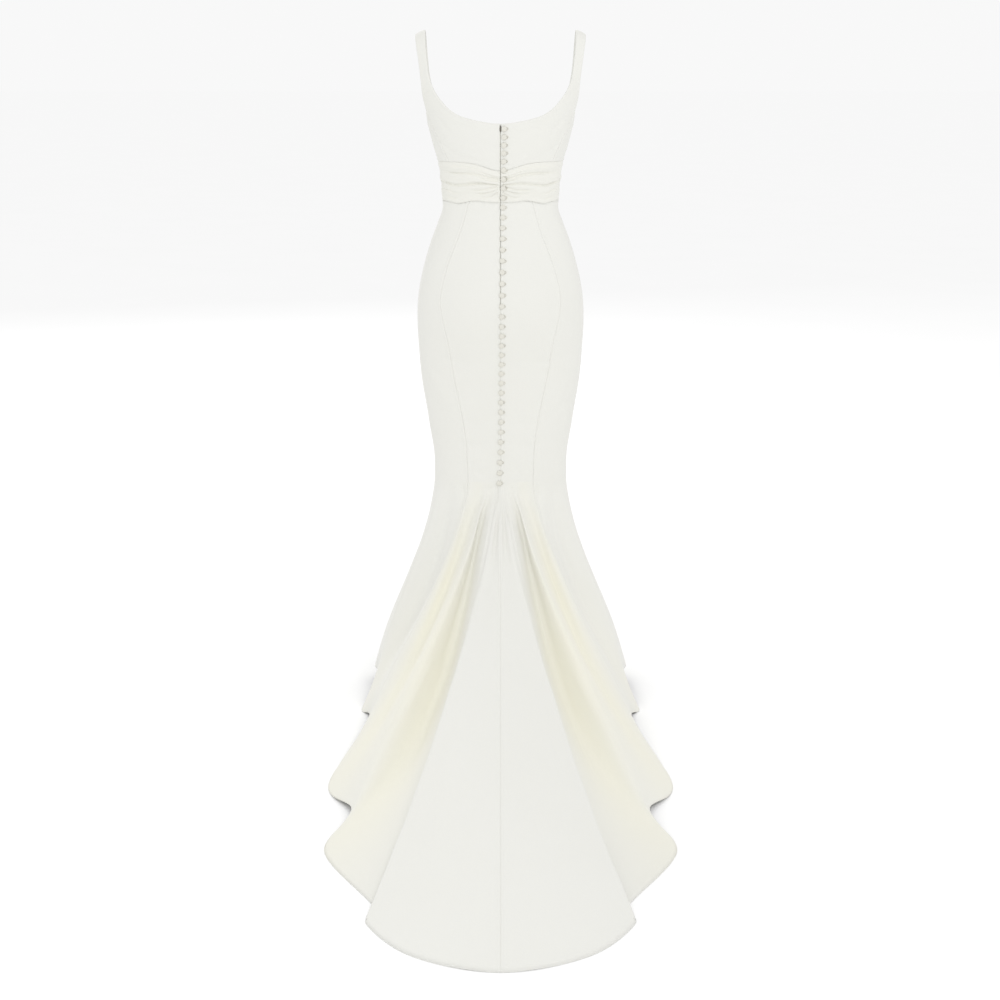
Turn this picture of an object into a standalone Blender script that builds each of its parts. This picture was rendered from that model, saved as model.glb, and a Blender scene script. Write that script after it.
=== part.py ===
"""A mermaid gown: sleeveless and fitted, with a deep scooped back closed by a row of covered buttons,
a draped midriff band, and a skirt that flares from the knee into a train on the floor.

Metres, +Z up. The front faces -Y, the train runs out along +Y, and +X is the wearer's left.
The origin is midway between the two straps, on top of the shoulders.
Heights and rises in the tables are measured from the floor. A rise is a height on the body, and past
the start of the shoulder cap it goes on over the shoulder, so that it reaches the shoulder seam.
"""

import math

import bmesh
import bpy
import numpy as np
from mathutils import Vector

SHOULDER_HEIGHT = 1.435
CLOTH = 0.0015
SEAM_GAP = 0.0003
WELD = 0.00001

# The shoulder cap is a quarter ellipse that the straps go over.
CAP_START = 1.330
CAP_RISE = 0.106
SHOULDER_SEAM = CAP_START + CAP_RISE * math.pi / 2
STRAP_INNER = 0.152
STRAP_OUTER = 0.176
STRAP_EDGE_DROP = 0.010

KNEE = 0.500
WAIST = 1.089
MIDRIFF_TOP = 1.171
MIDRIFF_DIP = 0.0175
MIDRIFF_DIP_WIDTH = 0.0447
MIDRIFF_FRONT_DIP = 0.35
UNDERARM = 1.246
ROUNDNESS = 0.85

# Sections of the fitted part: height, half width, depth behind the side seam, depth before it.
BODY = (
    (0.500, 0.1425, 0.092, 0.092),
    (0.550, 0.1437, 0.092, 0.092),
    (0.619, 0.1542, 0.096, 0.094),
    (0.687, 0.1646, 0.102, 0.097),
    (0.755, 0.1726, 0.110, 0.100),
    (0.834, 0.1768, 0.121, 0.104),
    (0.894, 0.1738, 0.122, 0.106),
    (0.947, 0.1634, 0.110, 0.104),
    (1.007, 0.1453, 0.091, 0.099),
    (1.045, 0.1305, 0.079, 0.095),
    (1.073, 0.1210, 0.074, 0.092),
    (1.091, 0.1214, 0.073, 0.091),
    (1.130, 0.1243, 0.079, 0.098),
    (1.172, 0.1310, 0.089, 0.110),
    (1.200, 0.1396, 0.094, 0.117),
    (1.252, 0.1535, 0.100, 0.116),
    (1.278, 0.1625, 0.101, 0.112),
    (1.305, 0.1730, 0.100, 0.107),
    (1.335, 0.1840, 0.097, 0.100),
    (1.380, 0.1980, 0.095, 0.097),
    (1.435, 0.2100, 0.094, 0.095),
)

# Soft fullness of the cut: half spacing, height, width, tall, depth, and the side it is on.
FULLNESS = (
    ("bust", 0.080, 1.195, 0.052, 0.050, 0.022, -1),
    ("seat", 0.078, 0.850, 0.070, 0.075, 0.007, 1),
)

# Edges of the cut on the body: distance from the middle, and rise.
BACK_SCOOP = (
    (0.0000, 1.2500), (0.0280, 1.2498), (0.0590, 1.2528), (0.0850, 1.2605), (0.1060, 1.2747),
    (0.1220, 1.2925),
)
BACK_STRAP_INNER = (
    (0.1220, 1.2925), (0.1357, 1.3130), (0.1450, 1.3370), (0.1505, 1.3732), (0.1535, 1.4066),
    (0.1545, 1.4500), (0.1550, SHOULDER_SEAM),
)
BACK_PRINCESS = ((0.1070, 1.171), (0.1286, 1.218), (0.1540, 1.272))
BACK_ARMHOLE = (
    (0.1540, 1.2720), (0.1610, 1.3020), (0.1640, 1.3350), (0.1685, 1.3732), (0.1732, 1.4135),
    (0.1755, 1.4500), (STRAP_OUTER, SHOULDER_SEAM),
)
FRONT_SCOOP = (
    (0.0000, 1.2285), (0.0300, 1.2300), (0.0620, 1.2370), (0.0920, 1.2500), (0.1150, 1.2700),
    (0.1310, 1.2900),
)
FRONT_STRAP_INNER = (
    (0.1310, 1.2900), (0.1430, 1.3150), (0.1500, 1.3450), (0.1530, 1.3800), (0.1545, 1.4200),
    (0.1550, SHOULDER_SEAM),
)
FRONT_PRINCESS = ((0.0700, 1.171), (0.0800, 1.200), (0.1080, 1.245), (0.1460, 1.285))
FRONT_ARMHOLE = (
    (0.1460, 1.2850), (0.1600, 1.3150), (0.1650, 1.3370), (0.1700, 1.3732), (0.1740, 1.4135),
    (0.1755, 1.4500), (STRAP_OUTER, SHOULDER_SEAM),
)
# Rows of the bodice's grids: up the middle, along the scoop, and up the strap. Then the columns of its
# back, side and front pieces, and how far the armhole hangs below a straight line behind and before.
MIDDLE_ROWS, SCOOP_ROWS, STRAP_ROWS = 3, 6, 10
BODICE_COLUMNS, SIDE_BODICE_COLUMNS = 6, 5
ARMHOLE_SAG_BACK, ARMHOLE_SAG_FRONT = 0.003, 0.010

BACK_SKIRT_PRINCESS = (
    (0.0700, 0.500), (0.0735, 0.580), (0.0810, 0.637), (0.0915, 0.690), (0.1020, 0.745),
    (0.1095, 0.797), (0.1220, 0.852), (0.1265, 0.886), (0.1215, 0.919), (0.1110, 0.958),
    (0.0820, 1.033), (0.0660, 1.089),
)
FRONT_SKIRT_PRINCESS = (
    (0.0720, 0.500), (0.0840, 0.650), (0.0980, 0.800), (0.1000, 0.880), (0.0850, 0.980), (0.0660, 1.089),
)

# The flare's fold lines from the centre back round to the centre front. Each is a Bezier curve from the
# knee to the hem: it starts at an angle on the knee, swings out to its bow, leans on its lie and ends at
# its point on the hem. The tongues and hollows lie behind the ridges and edges on both sides of them.
FOLDS = (
    # name, knee angle, bow x, bow y, bow z, lie x, lie y, lie z, hem x, hem y, hem z
    ("centre back seam", 0.0, 0.000, 0.300, 0.280, 0.000, 0.670, 0.077, 0.000, 1.327, 0.000),
    ("train middle", 1.1, 0.019, 0.300, 0.280, 0.070, 0.650, 0.076, 0.141, 1.273, 0.000),
    ("train corner", 2.2, 0.038, 0.300, 0.280, 0.128, 0.620, 0.075, 0.221, 1.160, 0.000),
    ("train edge", 3.8, 0.044, 0.280, 0.276, 0.126, 0.588, 0.060, 0.209, 1.105, 0.000),
    ("second tongue", 7.8, 0.075, 0.180, 0.313, 0.089, 0.492, 0.026, 0.3155, 0.876, 0.000),
    ("second ridge", 12.8, 0.059, 0.195, 0.310, 0.250, 0.584, 0.069, 0.279, 0.715, 0.014),
    ("first tongue", 19.3, 0.097, 0.138, 0.254, 0.224, 0.374, 0.056, 0.336, 0.558, 0.000),
    ("back princess", 29.4, 0.095, 0.134, 0.300, 0.232, 0.286, 0.165, 0.281, 0.220, 0.012),
    ("side tongue", 46.0, 0.098, 0.085, 0.290, 0.247, 0.095, 0.107, 0.302, 0.125, 0.000),
    ("side ridge", 64.0, 0.156, 0.044, 0.332, 0.258, 0.029, 0.193, 0.272, 0.020, 0.040),
    ("side seam", 90.0, 0.144, 0.000, 0.360, 0.249, -0.050, 0.184, 0.284, -0.080, 0.033),
    ("first front hollow", 104.0, 0.140, -0.030, 0.370, 0.195, -0.075, 0.180, 0.232, -0.108, 0.028),
    ("first front ridge", 118.0, 0.132, -0.060, 0.380, 0.215, -0.150, 0.190, 0.244, -0.195, 0.026),
    ("second front hollow", 134.0, 0.105, -0.070, 0.370, 0.142, -0.130, 0.180, 0.172, -0.188, 0.024),
    ("front princess", 149.7, 0.078, -0.095, 0.380, 0.128, -0.215, 0.190, 0.150, -0.275, 0.024),
    ("third front hollow", 165.0, 0.038, -0.092, 0.370, 0.055, -0.170, 0.180, 0.068, -0.236, 0.022),
    ("centre front", 180.0, 0.000, -0.105, 0.380, 0.000, -0.225, 0.190, 0.000, -0.290, 0.022),
)
FOLD_NAMES = [row[0] for row in FOLDS]
FOLD_VALUES = np.array([row[1:] for row in FOLDS])
MIRRORED = np.array([-1, -1, 1, 1, -1, 1, 1, -1, 1, 1])
CLEAR_OF_FLOOR = 0.0018
FLOOR_ROUNDING = 0.016
# The cloth hangs straight down from the knee before it swings out over this share of its fall.
EASE = 0.11
# Above the knee the grid's columns spread evenly by this rise, and the seams leave the fold lines.
COLUMNS_EVEN = 0.72
SEAM_JOINS_FOLD = 0.05
COLUMNS_PER_FOLD = 3
FLARE_ROWS = 13
CLOSER_AT_KNEE = 1.3
HIP_RISES = (0.500, 0.570, 0.640, 0.710, 0.780, 0.830, 0.872, 0.918, 0.965, 1.010, 1.045, 1.070)

MIDRIFF_ROWS, MIDRIFF_COLUMNS = 13, 10
# The draped band's pleats: level at the side and at the centre back, from the seam below to the one
# above, the pleat's half width as a share of the band, and how far it stands out.
PLEATS = (
    (0.90, 0.86, 0.10, 0.0035),
    (0.60, 0.62, 0.11, 0.0040),
    (0.24, 0.38, 0.13, 0.0035),
)
FLATTER_AT_SIDE = 0.65

# The buttons: their number, height and distance from the centre back towards the wearer's left.
BUTTON_COUNT = 37
BUTTON_PLACES = (
    (1, 1.2395, -0.0072), (6, 1.1560, -0.0060), (11, 1.0580, -0.0045), (15, 0.9710, -0.0035),
    (19, 0.8800, -0.0025), (24, 0.7770, -0.0018), (28, 0.6950, -0.0010), (33, 0.5870, 0.0000),
    (37, 0.4970, 0.0030),
)
BUTTON_RADIUS = 0.0057
BUTTON_THICKNESS = 0.0050
BUTTON_LIFT = 0.0003
BUTTON_SIDES = 8
BUTTON_RINGS = 4

# The zip's tape lies inside the opening, this far in from the cloth, with a row at each of the cloth's.
ZIP_WIDTH = 0.022
ZIP_TAPE = 0.0010
ZIP_INSIDE = 0.0009
ZIP_RISES = (
    0.872, 0.918, 0.965, 1.010, 1.045, 1.070, 1.089, 1.110, 1.132, 1.1535, 1.1857, 1.2178, 1.2430,
)

IVORY = (0.86, 0.85, 0.80)
BUTTON_IVORY = (0.80, 0.78, 0.71)
TAPE_IVORY = (0.62, 0.60, 0.54)


def smooth(stations, values, at):
    """Cubic pieces through a table's rows, with slopes taken from the rows on both sides."""
    stations = np.asarray(stations, dtype=float)
    values = np.asarray(values, dtype=float)
    at = np.clip(np.asarray(at, dtype=float), stations[0], stations[-1])
    slopes = np.gradient(values, stations, axis=0)
    row = np.clip(np.searchsorted(stations, at, side="right") - 1, 0, len(stations) - 2)
    span = stations[row + 1] - stations[row]
    part = (at - stations[row]) / span
    if values.ndim == 2:
        span, part = span[..., None], part[..., None]
    rest = 1 - part
    start = (1 + 2 * part) * rest**2 * values[row] + part * rest**2 * span * slopes[row]
    end = part**2 * (3 - 2 * part) * values[row + 1] - part**2 * rest * span * slopes[row + 1]
    return start + end


def smooth_step(share):
    """Goes from 0 to 1 with level ends."""
    share = np.clip(share, 0, 1)
    return share * share * (3 - 2 * share)


def body_surface(angle, rise):
    """A point of the fitted part. The angle is 0 at the centre back and 180 degrees at the front."""
    over = np.clip((rise - CAP_START) / CAP_RISE, 0, math.pi / 2)
    height = np.minimum(rise, CAP_START) + CAP_RISE * np.sin(over)
    table = np.array(BODY)
    half_width, back, front = np.moveaxis(smooth(table[:, 0], table[:, 1:], height), -1, 0)
    x = half_width * np.sin(angle)
    side = np.sign(np.cos(angle))
    reach = np.where(side > 0, back, front) * np.abs(np.cos(angle)) ** ROUNDNESS
    for _, spacing, centre, width, tall, depth, where in FULLNESS:
        both = np.exp(-(((x - spacing) / width) ** 2)) + np.exp(-(((x + spacing) / width) ** 2))
        full = depth * np.abs(np.cos(angle)) * both * np.exp(-(((height - centre) / tall) ** 2))
        reach = reach + np.where(side == where, full, 0)
    edge = np.clip((np.abs(x) - STRAP_INNER) / (STRAP_OUTER - STRAP_INNER), 0, 1)
    height = height - STRAP_EDGE_DROP * edge**2 * np.sin(over) ** 4
    return np.stack([x, side * reach * np.cos(over), height], axis=-1)


def angle_at(x, rise, facing):
    """The angle of a point that lies a given distance from the middle, on the back or the front."""
    table = np.array(BODY)
    over = np.clip((rise - CAP_START) / CAP_RISE, 0, math.pi / 2)
    height = np.minimum(rise, CAP_START) + CAP_RISE * np.sin(over)
    turn = np.arcsin(np.clip(x / smooth(table[:, 0], table[:, 1], height), -1, 1))
    return turn if facing == "back" else math.pi - turn


def mirrored_folds():
    """The fold table with three rows mirrored past each end, so that both middles are smooth."""
    before = FOLD_VALUES[3:0:-1] * MIRRORED
    after = FOLD_VALUES[-2:-5:-1] * MIRRORED
    after[:, 0] += 360
    numbers = np.arange(-3, len(FOLDS) + 3, dtype=float)
    return numbers, np.concatenate([before, FOLD_VALUES, after])


def knee_angle(fold):
    numbers, values = mirrored_folds()
    return np.radians(smooth(numbers, values[:, 0], fold))


def flare_surface(fold, fall):
    """A point of the flare: a fold number, and how far down it is, from 0 at the knee to 1 at the hem."""
    numbers, values = mirrored_folds()
    curve = smooth(numbers, values, fold)
    fall = np.asarray(fall, dtype=float)[..., None]
    knee = body_surface(np.radians(curve[..., 0]), np.full(np.shape(fold), KNEE))
    rest = 1 - fall
    swing = rest**3 * knee + 3 * rest**2 * fall * curve[..., 1:4] + 3 * rest * fall**2 * curve[..., 4:7]
    point = swing + fall**3 * curve[..., 7:10]
    eased = smooth_step(fall / EASE)
    point[..., :2] = knee[..., :2] + (point[..., :2] - knee[..., :2]) * eased
    above = point[..., 2:] - CLEAR_OF_FLOOR
    rounding = FLOOR_ROUNDING * fall * rest
    point[..., 2:] = CLEAR_OF_FLOOR + (above + np.sqrt(above**2 + rounding**2)) / 2
    return point


def midriff_top(angle):
    """The seam over the midriff band: level, with a dip at the centre back and a slighter one in front."""
    heights, half_widths = np.array(BODY)[:, :2].T
    x = np.interp(MIDRIFF_TOP, heights, half_widths) * np.sin(angle)
    dip = MIDRIFF_DIP * np.exp(-((x / MIDRIFF_DIP_WIDTH) ** 2))
    return MIDRIFF_TOP - np.where(np.cos(angle) > 0, dip, MIDRIFF_FRONT_DIP * dip)


def pleat_height(angle, level):
    """How far the band's pleats stand out from the body. The level is 0 at the waist seam and 1 above."""
    to_side = np.sin(angle) ** 2
    height = np.zeros(np.shape(to_side * level))
    for side_level, centre_level, width, depth in PLEATS:
        at = centre_level + (side_level - centre_level) * to_side
        height = height + depth * np.exp(-(((level - at) / width) ** 2))
    return height * (1 - FLATTER_AT_SIDE * to_side)


def midriff_surface(angle, level):
    """The draped band: the body with pleats that stand out of it."""
    rise = WAIST + level * (midriff_top(angle) - WAIST)
    out = outward(body_surface, angle, rise) * pleat_height(angle, level)[..., None]
    return body_surface(angle, rise) + out


def outward(surface, across, along, step=1e-4):
    """The direction out of the cloth, from two small steps on its surface."""
    over = surface(across + step, along) - surface(across - step, along)
    up = surface(across, along + step) - surface(across, along - step)
    away = np.cross(over, up)
    return -away / np.linalg.norm(away, axis=-1, keepdims=True)


def edge_curve(table, rows, facing):
    """Points of a cut edge as angle and rise, spaced evenly along it."""
    points = np.array(table)
    steps = np.concatenate([[0], np.cumsum(np.hypot(*np.diff(points, axis=0).T))])
    spots = smooth(steps, points, np.linspace(0, steps[-1], rows))
    return np.stack([angle_at(spots[:, 0], spots[:, 1], facing), spots[:, 1]], axis=-1)


def seam_between(start, end, rows):
    """A straight edge from one angle and rise to another."""
    share = np.linspace(0, 1, rows)[:, None]
    return np.asarray(start) * (1 - share) + np.asarray(end) * share


def join_edges(lower, upper):
    return np.concatenate([lower, upper[1:]])


def ruled_patch(first, second, columns, top_sag=0.0):
    """A grid of points between two edges of the same number of rows, straight across in angle and rise.
    Its lower edge is laid on the midriff's seam, and its upper edge may hang below the straight line."""
    share = np.linspace(0, 1, columns)[None, :, None]
    grid = first[:, None] * (1 - share) + second[:, None] * share
    climb = np.linspace(0, 1, len(first))[:, None]
    grid[..., 1] -= top_sag * climb**3 * np.sin(np.pi * share[..., 0])
    grid[..., 1] += (midriff_top(grid[..., 0]) - grid[0, :, 1]) * (1 - climb) ** 2
    angle, rise = grid[..., 0], grid[..., 1]
    return body_surface(angle, rise), outward(body_surface, angle, rise)


def draw_in(grid, left=True, right=True, bottom=True, top=True):
    """Moves a piece's edges in by half of the seam's gap."""
    grid = grid.copy()
    for wanted, edge, inside in ((left, np.s_[:, 0], np.s_[:, 1]), (right, np.s_[:, -1], np.s_[:, -2]),
                                 (bottom, np.s_[0], np.s_[1]), (top, np.s_[-1], np.s_[-2])):
        if wanted:
            inward = grid[inside] - grid[edge]
            grid[edge] += SEAM_GAP / 2 * inward / np.linalg.norm(inward, axis=-1, keepdims=True)
    return grid


def material(name, colour, roughness):
    made = bpy.data.materials.new(name)
    made.use_nodes = True
    shader = made.node_tree.nodes["Principled BSDF"]
    shader.inputs["Base Color"].default_value = (*colour, 1.0)
    shader.inputs["Roughness"].default_value = roughness
    shader.inputs["Metallic"].default_value = 0.0
    return made


def grid_faces(points, rows, columns):
    """The four-cornered faces of a grid, turned so that the shorter diagonal joins the first and third."""
    number = np.arange(rows * columns).reshape(rows, columns)
    corners = np.stack([number[:-1, :-1], number[:-1, 1:], number[1:, 1:], number[1:, :-1]], axis=-1)
    corners = corners.reshape(-1, 4)
    spans = np.linalg.norm(points[corners[:, :2]] - points[corners[:, 2:]], axis=-1)
    return np.where((spans[:, 1] < spans[:, 0])[:, None], np.roll(corners, -1, axis=1), corners)


def halved(corners):
    """Two triangles from each four-cornered face, on both sides of its first diagonal. The two faces of a
    wall share their diagonals, so that it keeps its thickness where the cloth twists."""
    return np.concatenate([corners[:, [0, 1, 2]], corners[:, [0, 2, 3]]])


def between_faces(grid):
    """The directions out of a grid of cloth, each the mean of the triangles round its point, so that a wall
    doesn't cross itself at a sharp fold. The hem leans half way to the row above it."""
    points = grid.reshape(-1, 3)
    triangles = halved(grid_faces(points, *grid.shape[:2]))
    first, second, third = points[triangles.T]
    faces = np.cross(third - first, second - first)
    faces /= np.linalg.norm(faces, axis=-1, keepdims=True)
    away = np.zeros_like(points)
    np.add.at(away, triangles.ravel(), np.repeat(faces, 3, axis=0))
    away = away.reshape(grid.shape) / np.linalg.norm(away, axis=-1).reshape(*grid.shape[:2], 1)
    away[0] += away[1]
    return away / np.linalg.norm(away, axis=-1, keepdims=True)


def cloth_piece(name, outer, away, side, collection, finish, thickness=CLOTH, on_fold=False):
    """A closed wall of cloth from a grid of points on its outer face and the directions out of it. The
    grid's rows run up and its columns from the back round to the front on the left side. A piece on the
    fold has no rim at the middle, where it is welded to its mirror image."""
    rows, columns = outer.shape[:2]
    count = rows * columns
    points = np.concatenate([outer.reshape(-1, 3), (outer - away * thickness).reshape(-1, 3)])
    number = np.arange(count).reshape(rows, columns)
    corners = grid_faces(points, rows, columns)
    edge = np.concatenate([number[0, :-1], number[:-1, -1], number[-1, :0:-1], number[:0:-1, 0]])
    onward = np.roll(edge, -1)
    if on_fold:
        off_middle = (np.abs(points[edge, 0]) > WELD) | (np.abs(points[onward, 0]) > WELD)
        edge, onward = edge[off_middle], onward[off_middle]
    rim = np.stack([edge, onward, onward + count, edge + count], axis=-1)
    faces = halved(np.concatenate([corners[:, [2, 1, 0, 3]], corners + count, rim]))
    if side < 0:
        faces = faces[:, ::-1]
    placed = points * (side, 1, 1) - (0, 0, SHOULDER_HEIGHT)
    mesh = bpy.data.meshes.new(name)
    mesh.from_pydata(placed.tolist(), [], faces.tolist())
    mesh.shade_smooth()
    mesh.materials.append(finish)
    piece = bpy.data.objects.new(name, mesh)
    collection.objects.link(piece)
    if on_fold:
        mirror = piece.modifiers.new("On the fold", "MIRROR")
        mirror.merge_threshold = WELD


def inner_edge(scoop, strap, angle, facing):
    """Up the middle from the midriff seam, along the scooped neckline and up the strap."""
    middle = seam_between((angle, float(midriff_top(angle))), (angle, scoop[0][1]), MIDDLE_ROWS + 1)
    scooped = edge_curve(scoop, SCOOP_ROWS + 1, facing)
    return join_edges(join_edges(middle, scooped), edge_curve(strap, STRAP_ROWS + 1, facing))


def make_bodice(collection, finish):
    """Seven pieces: princess seams in front and behind, and straps cut in one with the bodice."""
    seam_rows = MIDDLE_ROWS + SCOOP_ROWS + 1
    side_seam = seam_between((math.pi / 2, MIDRIFF_TOP), (math.pi / 2, UNDERARM), seam_rows)
    back_seam = edge_curve(BACK_PRINCESS, seam_rows, "back")
    front_seam = edge_curve(FRONT_PRINCESS, seam_rows, "front")
    back_inner = inner_edge(BACK_SCOOP, BACK_STRAP_INNER, 0.0, "back")
    front_inner = inner_edge(FRONT_SCOOP, FRONT_STRAP_INNER, math.pi, "front")
    back_outer = join_edges(back_seam, edge_curve(BACK_ARMHOLE, STRAP_ROWS + 1, "back"))
    front_outer = join_edges(front_seam, edge_curve(FRONT_ARMHOLE, STRAP_ROWS + 1, "front"))
    wide, narrow = BODICE_COLUMNS, SIDE_BODICE_COLUMNS
    pairs = (
        ("back_bodice", ruled_patch(back_inner, back_outer, wide)),
        ("side_back_bodice", ruled_patch(back_seam, side_seam, narrow, ARMHOLE_SAG_BACK)),
        ("side_front_bodice", ruled_patch(side_seam, front_seam, wide, ARMHOLE_SAG_FRONT)),
    )
    for name, (grid, away) in pairs:
        for side, word in ((1, "left"), (-1, "right")):
            cloth_piece(f"{name}_{word}", draw_in(grid), away, side, collection, finish)
    grid, away = ruled_patch(front_outer, front_inner, wide)
    cloth_piece("front_bodice", draw_in(grid, right=False), away, 1, collection, finish, on_fold=True)


def make_midriff(collection, finish):
    """The draped band, in two back pieces and one in front on the fold."""
    angles, levels = np.meshgrid(np.linspace(0, math.pi / 2, MIDRIFF_COLUMNS),
                                 np.linspace(0, 1, MIDRIFF_ROWS))
    back, away = midriff_surface(angles, levels), outward(midriff_surface, angles, levels)
    for side, word in ((1, "left"), (-1, "right")):
        cloth_piece(f"back_midriff_{word}", draw_in(back), away, side, collection, finish)
    angles = angles + math.pi / 2
    front, away = midriff_surface(angles, levels), outward(midriff_surface, angles, levels)
    front[:, -1, 0] = 0
    cloth_piece("front_midriff", draw_in(front, right=False), away, 1, collection, finish, on_fold=True)


def skirt_seam(name):
    """A lengthwise seam as a function of rise: its angle on the body, down to the knee."""
    if name == "centre back seam":
        return lambda rise: 0 * rise
    if name == "side seam":
        return lambda rise: 0 * rise + math.pi / 2
    if name == "centre front":
        return lambda rise: 0 * rise + math.pi
    facing = "back" if name == "back princess" else "front"
    x, height = np.array(BACK_SKIRT_PRINCESS if facing == "back" else FRONT_SKIRT_PRINCESS).T
    return lambda rise: angle_at(smooth(height, x, rise), rise, facing)


def skirt_panel(first_name, last_name):
    """A grid between two lengthwise seams, from the hem up to the waist seam. Its columns follow the
    fold lines in the flare and spread evenly on the hips."""
    first, last = FOLD_NAMES.index(first_name), FOLD_NAMES.index(last_name)
    folds = np.linspace(first, last, COLUMNS_PER_FOLD * (last - first) + 1)
    falls = np.linspace(1, 0, FLARE_ROWS + 1)[:-1] ** CLOSER_AT_KNEE
    fold, fall = np.meshgrid(folds, falls)
    rises = np.array([*HIP_RISES, WAIST])
    knee = knee_angle(folds)
    knee_share = (knee - knee[0]) / (knee[-1] - knee[0])
    even_share = np.linspace(0, 1, len(folds))
    spread = smooth_step((rises - KNEE) / (COLUMNS_EVEN - KNEE))[:, None]
    share = knee_share * (1 - spread) + even_share * spread
    left, right = skirt_seam(first_name)(rises)[:, None], skirt_seam(last_name)(rises)[:, None]
    knee_pull = 1 - smooth_step((rises[:, None] - KNEE) / SEAM_JOINS_FOLD)
    left = left * (1 - knee_pull) + knee[0] * knee_pull
    right = right * (1 - knee_pull) + knee[-1] * knee_pull
    angle, rise = left + (right - left) * share, rises[:, None] + 0 * share
    grid = np.concatenate([flare_surface(fold, fall), body_surface(angle, rise)])
    away = np.concatenate([-outward(flare_surface, fold, fall), outward(body_surface, angle, rise)])
    away[:-1, 1:-1] = between_faces(grid)[:-1, 1:-1]
    return grid, away


def make_skirt(collection, finish):
    """Seven panels: the centre-back pair carries the train."""
    panels = (
        ("centre_back_skirt", "centre back seam", "back princess"),
        ("side_back_skirt", "back princess", "side seam"),
        ("side_front_skirt", "side seam", "front princess"),
    )
    for name, first_name, last_name in panels:
        grid, away = skirt_panel(first_name, last_name)
        for side, word in ((1, "left"), (-1, "right")):
            cloth_piece(f"{name}_{word}", draw_in(grid, bottom=False), away, side, collection, finish)
    grid, away = skirt_panel("front princess", "centre front")
    grid[:, -1, 0] = 0
    grid = draw_in(grid, right=False, bottom=False)
    cloth_piece("centre_front_skirt", grid, away, 1, collection, finish, on_fold=True)


def back_profile():
    """Heights and depths of the cloth's own rows down the centre back, from the flare to the neckline."""
    falls = (np.array((2, 1)) / FLARE_ROWS) ** CLOSER_AT_KNEE
    flare = flare_surface(np.zeros(2), falls)
    hips = body_surface(np.zeros(len(HIP_RISES) + 1), np.array([*HIP_RISES, WAIST]))
    band = midriff_surface(np.zeros(MIDRIFF_ROWS), np.linspace(0, 1, MIDRIFF_ROWS))
    bodice = np.linspace(float(midriff_top(0.0)), BACK_SCOOP[0][1], MIDDLE_ROWS + 1)
    points = np.concatenate([flare, hips, band, body_surface(0 * bodice, bodice)])
    return points[:, 2], points[:, 1]


def make_buttons(collection, finish):
    """Domed buttons in a row beside the opening, each a flattened ball that stands on the cloth."""
    places = np.array(BUTTON_PLACES)
    cloth_heights, cloth_depths = back_profile()
    under = np.linspace(-BUTTON_RADIUS, BUTTON_RADIUS, 13)
    rounding = BUTTON_THICKNESS / 2 * (1 - np.sqrt(1 - (under / BUTTON_RADIUS) ** 2))
    for number in range(1, BUTTON_COUNT + 1):
        height, x = smooth(places[:, 0], places[:, 1:], number)
        depths = np.interp(height + under, cloth_heights, cloth_depths)
        slope = (depths[-1] - depths[0]) / (under[-1] - under[0])
        away = Vector((0, 1, -slope)).normalized()
        seat = np.max(depths - slope * under - rounding)
        name = f"button_{number:02d}"
        ball = bmesh.new()
        bmesh.ops.create_uvsphere(
            ball, u_segments=BUTTON_SIDES, v_segments=BUTTON_RINGS, radius=BUTTON_RADIUS
        )
        bmesh.ops.scale(ball, vec=(1, 1, BUTTON_THICKNESS / (2 * BUTTON_RADIUS)), verts=ball.verts)
        mesh = bpy.data.meshes.new(name)
        ball.to_mesh(mesh)
        ball.free()
        mesh.shade_smooth()
        mesh.materials.append(finish)
        button = bpy.data.objects.new(name, mesh)
        button.rotation_mode = "QUATERNION"
        button.rotation_quaternion = away.to_track_quat("Z", "Y")
        spot = Vector((x, seat, height - SHOULDER_HEIGHT))
        button.location = spot + away * (BUTTON_THICKNESS / 2 + BUTTON_LIFT)
        collection.objects.link(button)


def make_zip(collection, finish):
    """A tape inside the back opening, just clear of the cloth on both sides of it."""
    across, rises = np.meshgrid((-ZIP_WIDTH / 2, 0, ZIP_WIDTH / 2), ZIP_RISES)
    angle = angle_at(across, rises, "back")
    away = outward(body_surface, angle, rises)
    tape = body_surface(angle, rises) - away * (CLOTH + ZIP_INSIDE)
    cloth_piece("concealed_zip", tape, away, 1, collection, finish, thickness=ZIP_TAPE)


def make_gown():
    for thing in list(bpy.data.objects):
        bpy.data.objects.remove(thing, do_unlink=True)
    collection = bpy.data.collections.new("mermaid_gown")
    bpy.context.scene.collection.children.link(collection)
    crepe = material("ivory crepe", IVORY, 0.62)
    covered = material("covered buttons", BUTTON_IVORY, 0.45)
    tape = material("zip tape", TAPE_IVORY, 0.70)
    make_bodice(collection, crepe)
    make_midriff(collection, crepe)
    make_skirt(collection, crepe)
    make_buttons(collection, covered)
    make_zip(collection, tape)


make_gown()
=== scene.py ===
"""The looks of a mermaid gown in ivory crepe: a scooped back with a row of covered buttons, a draped
midriff band and a skirt that flares from the knee into a train.

Metres, +Z up. The front faces -Y, the train runs out along +Y, and +X is the wearer's left.
"""

import math

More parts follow.
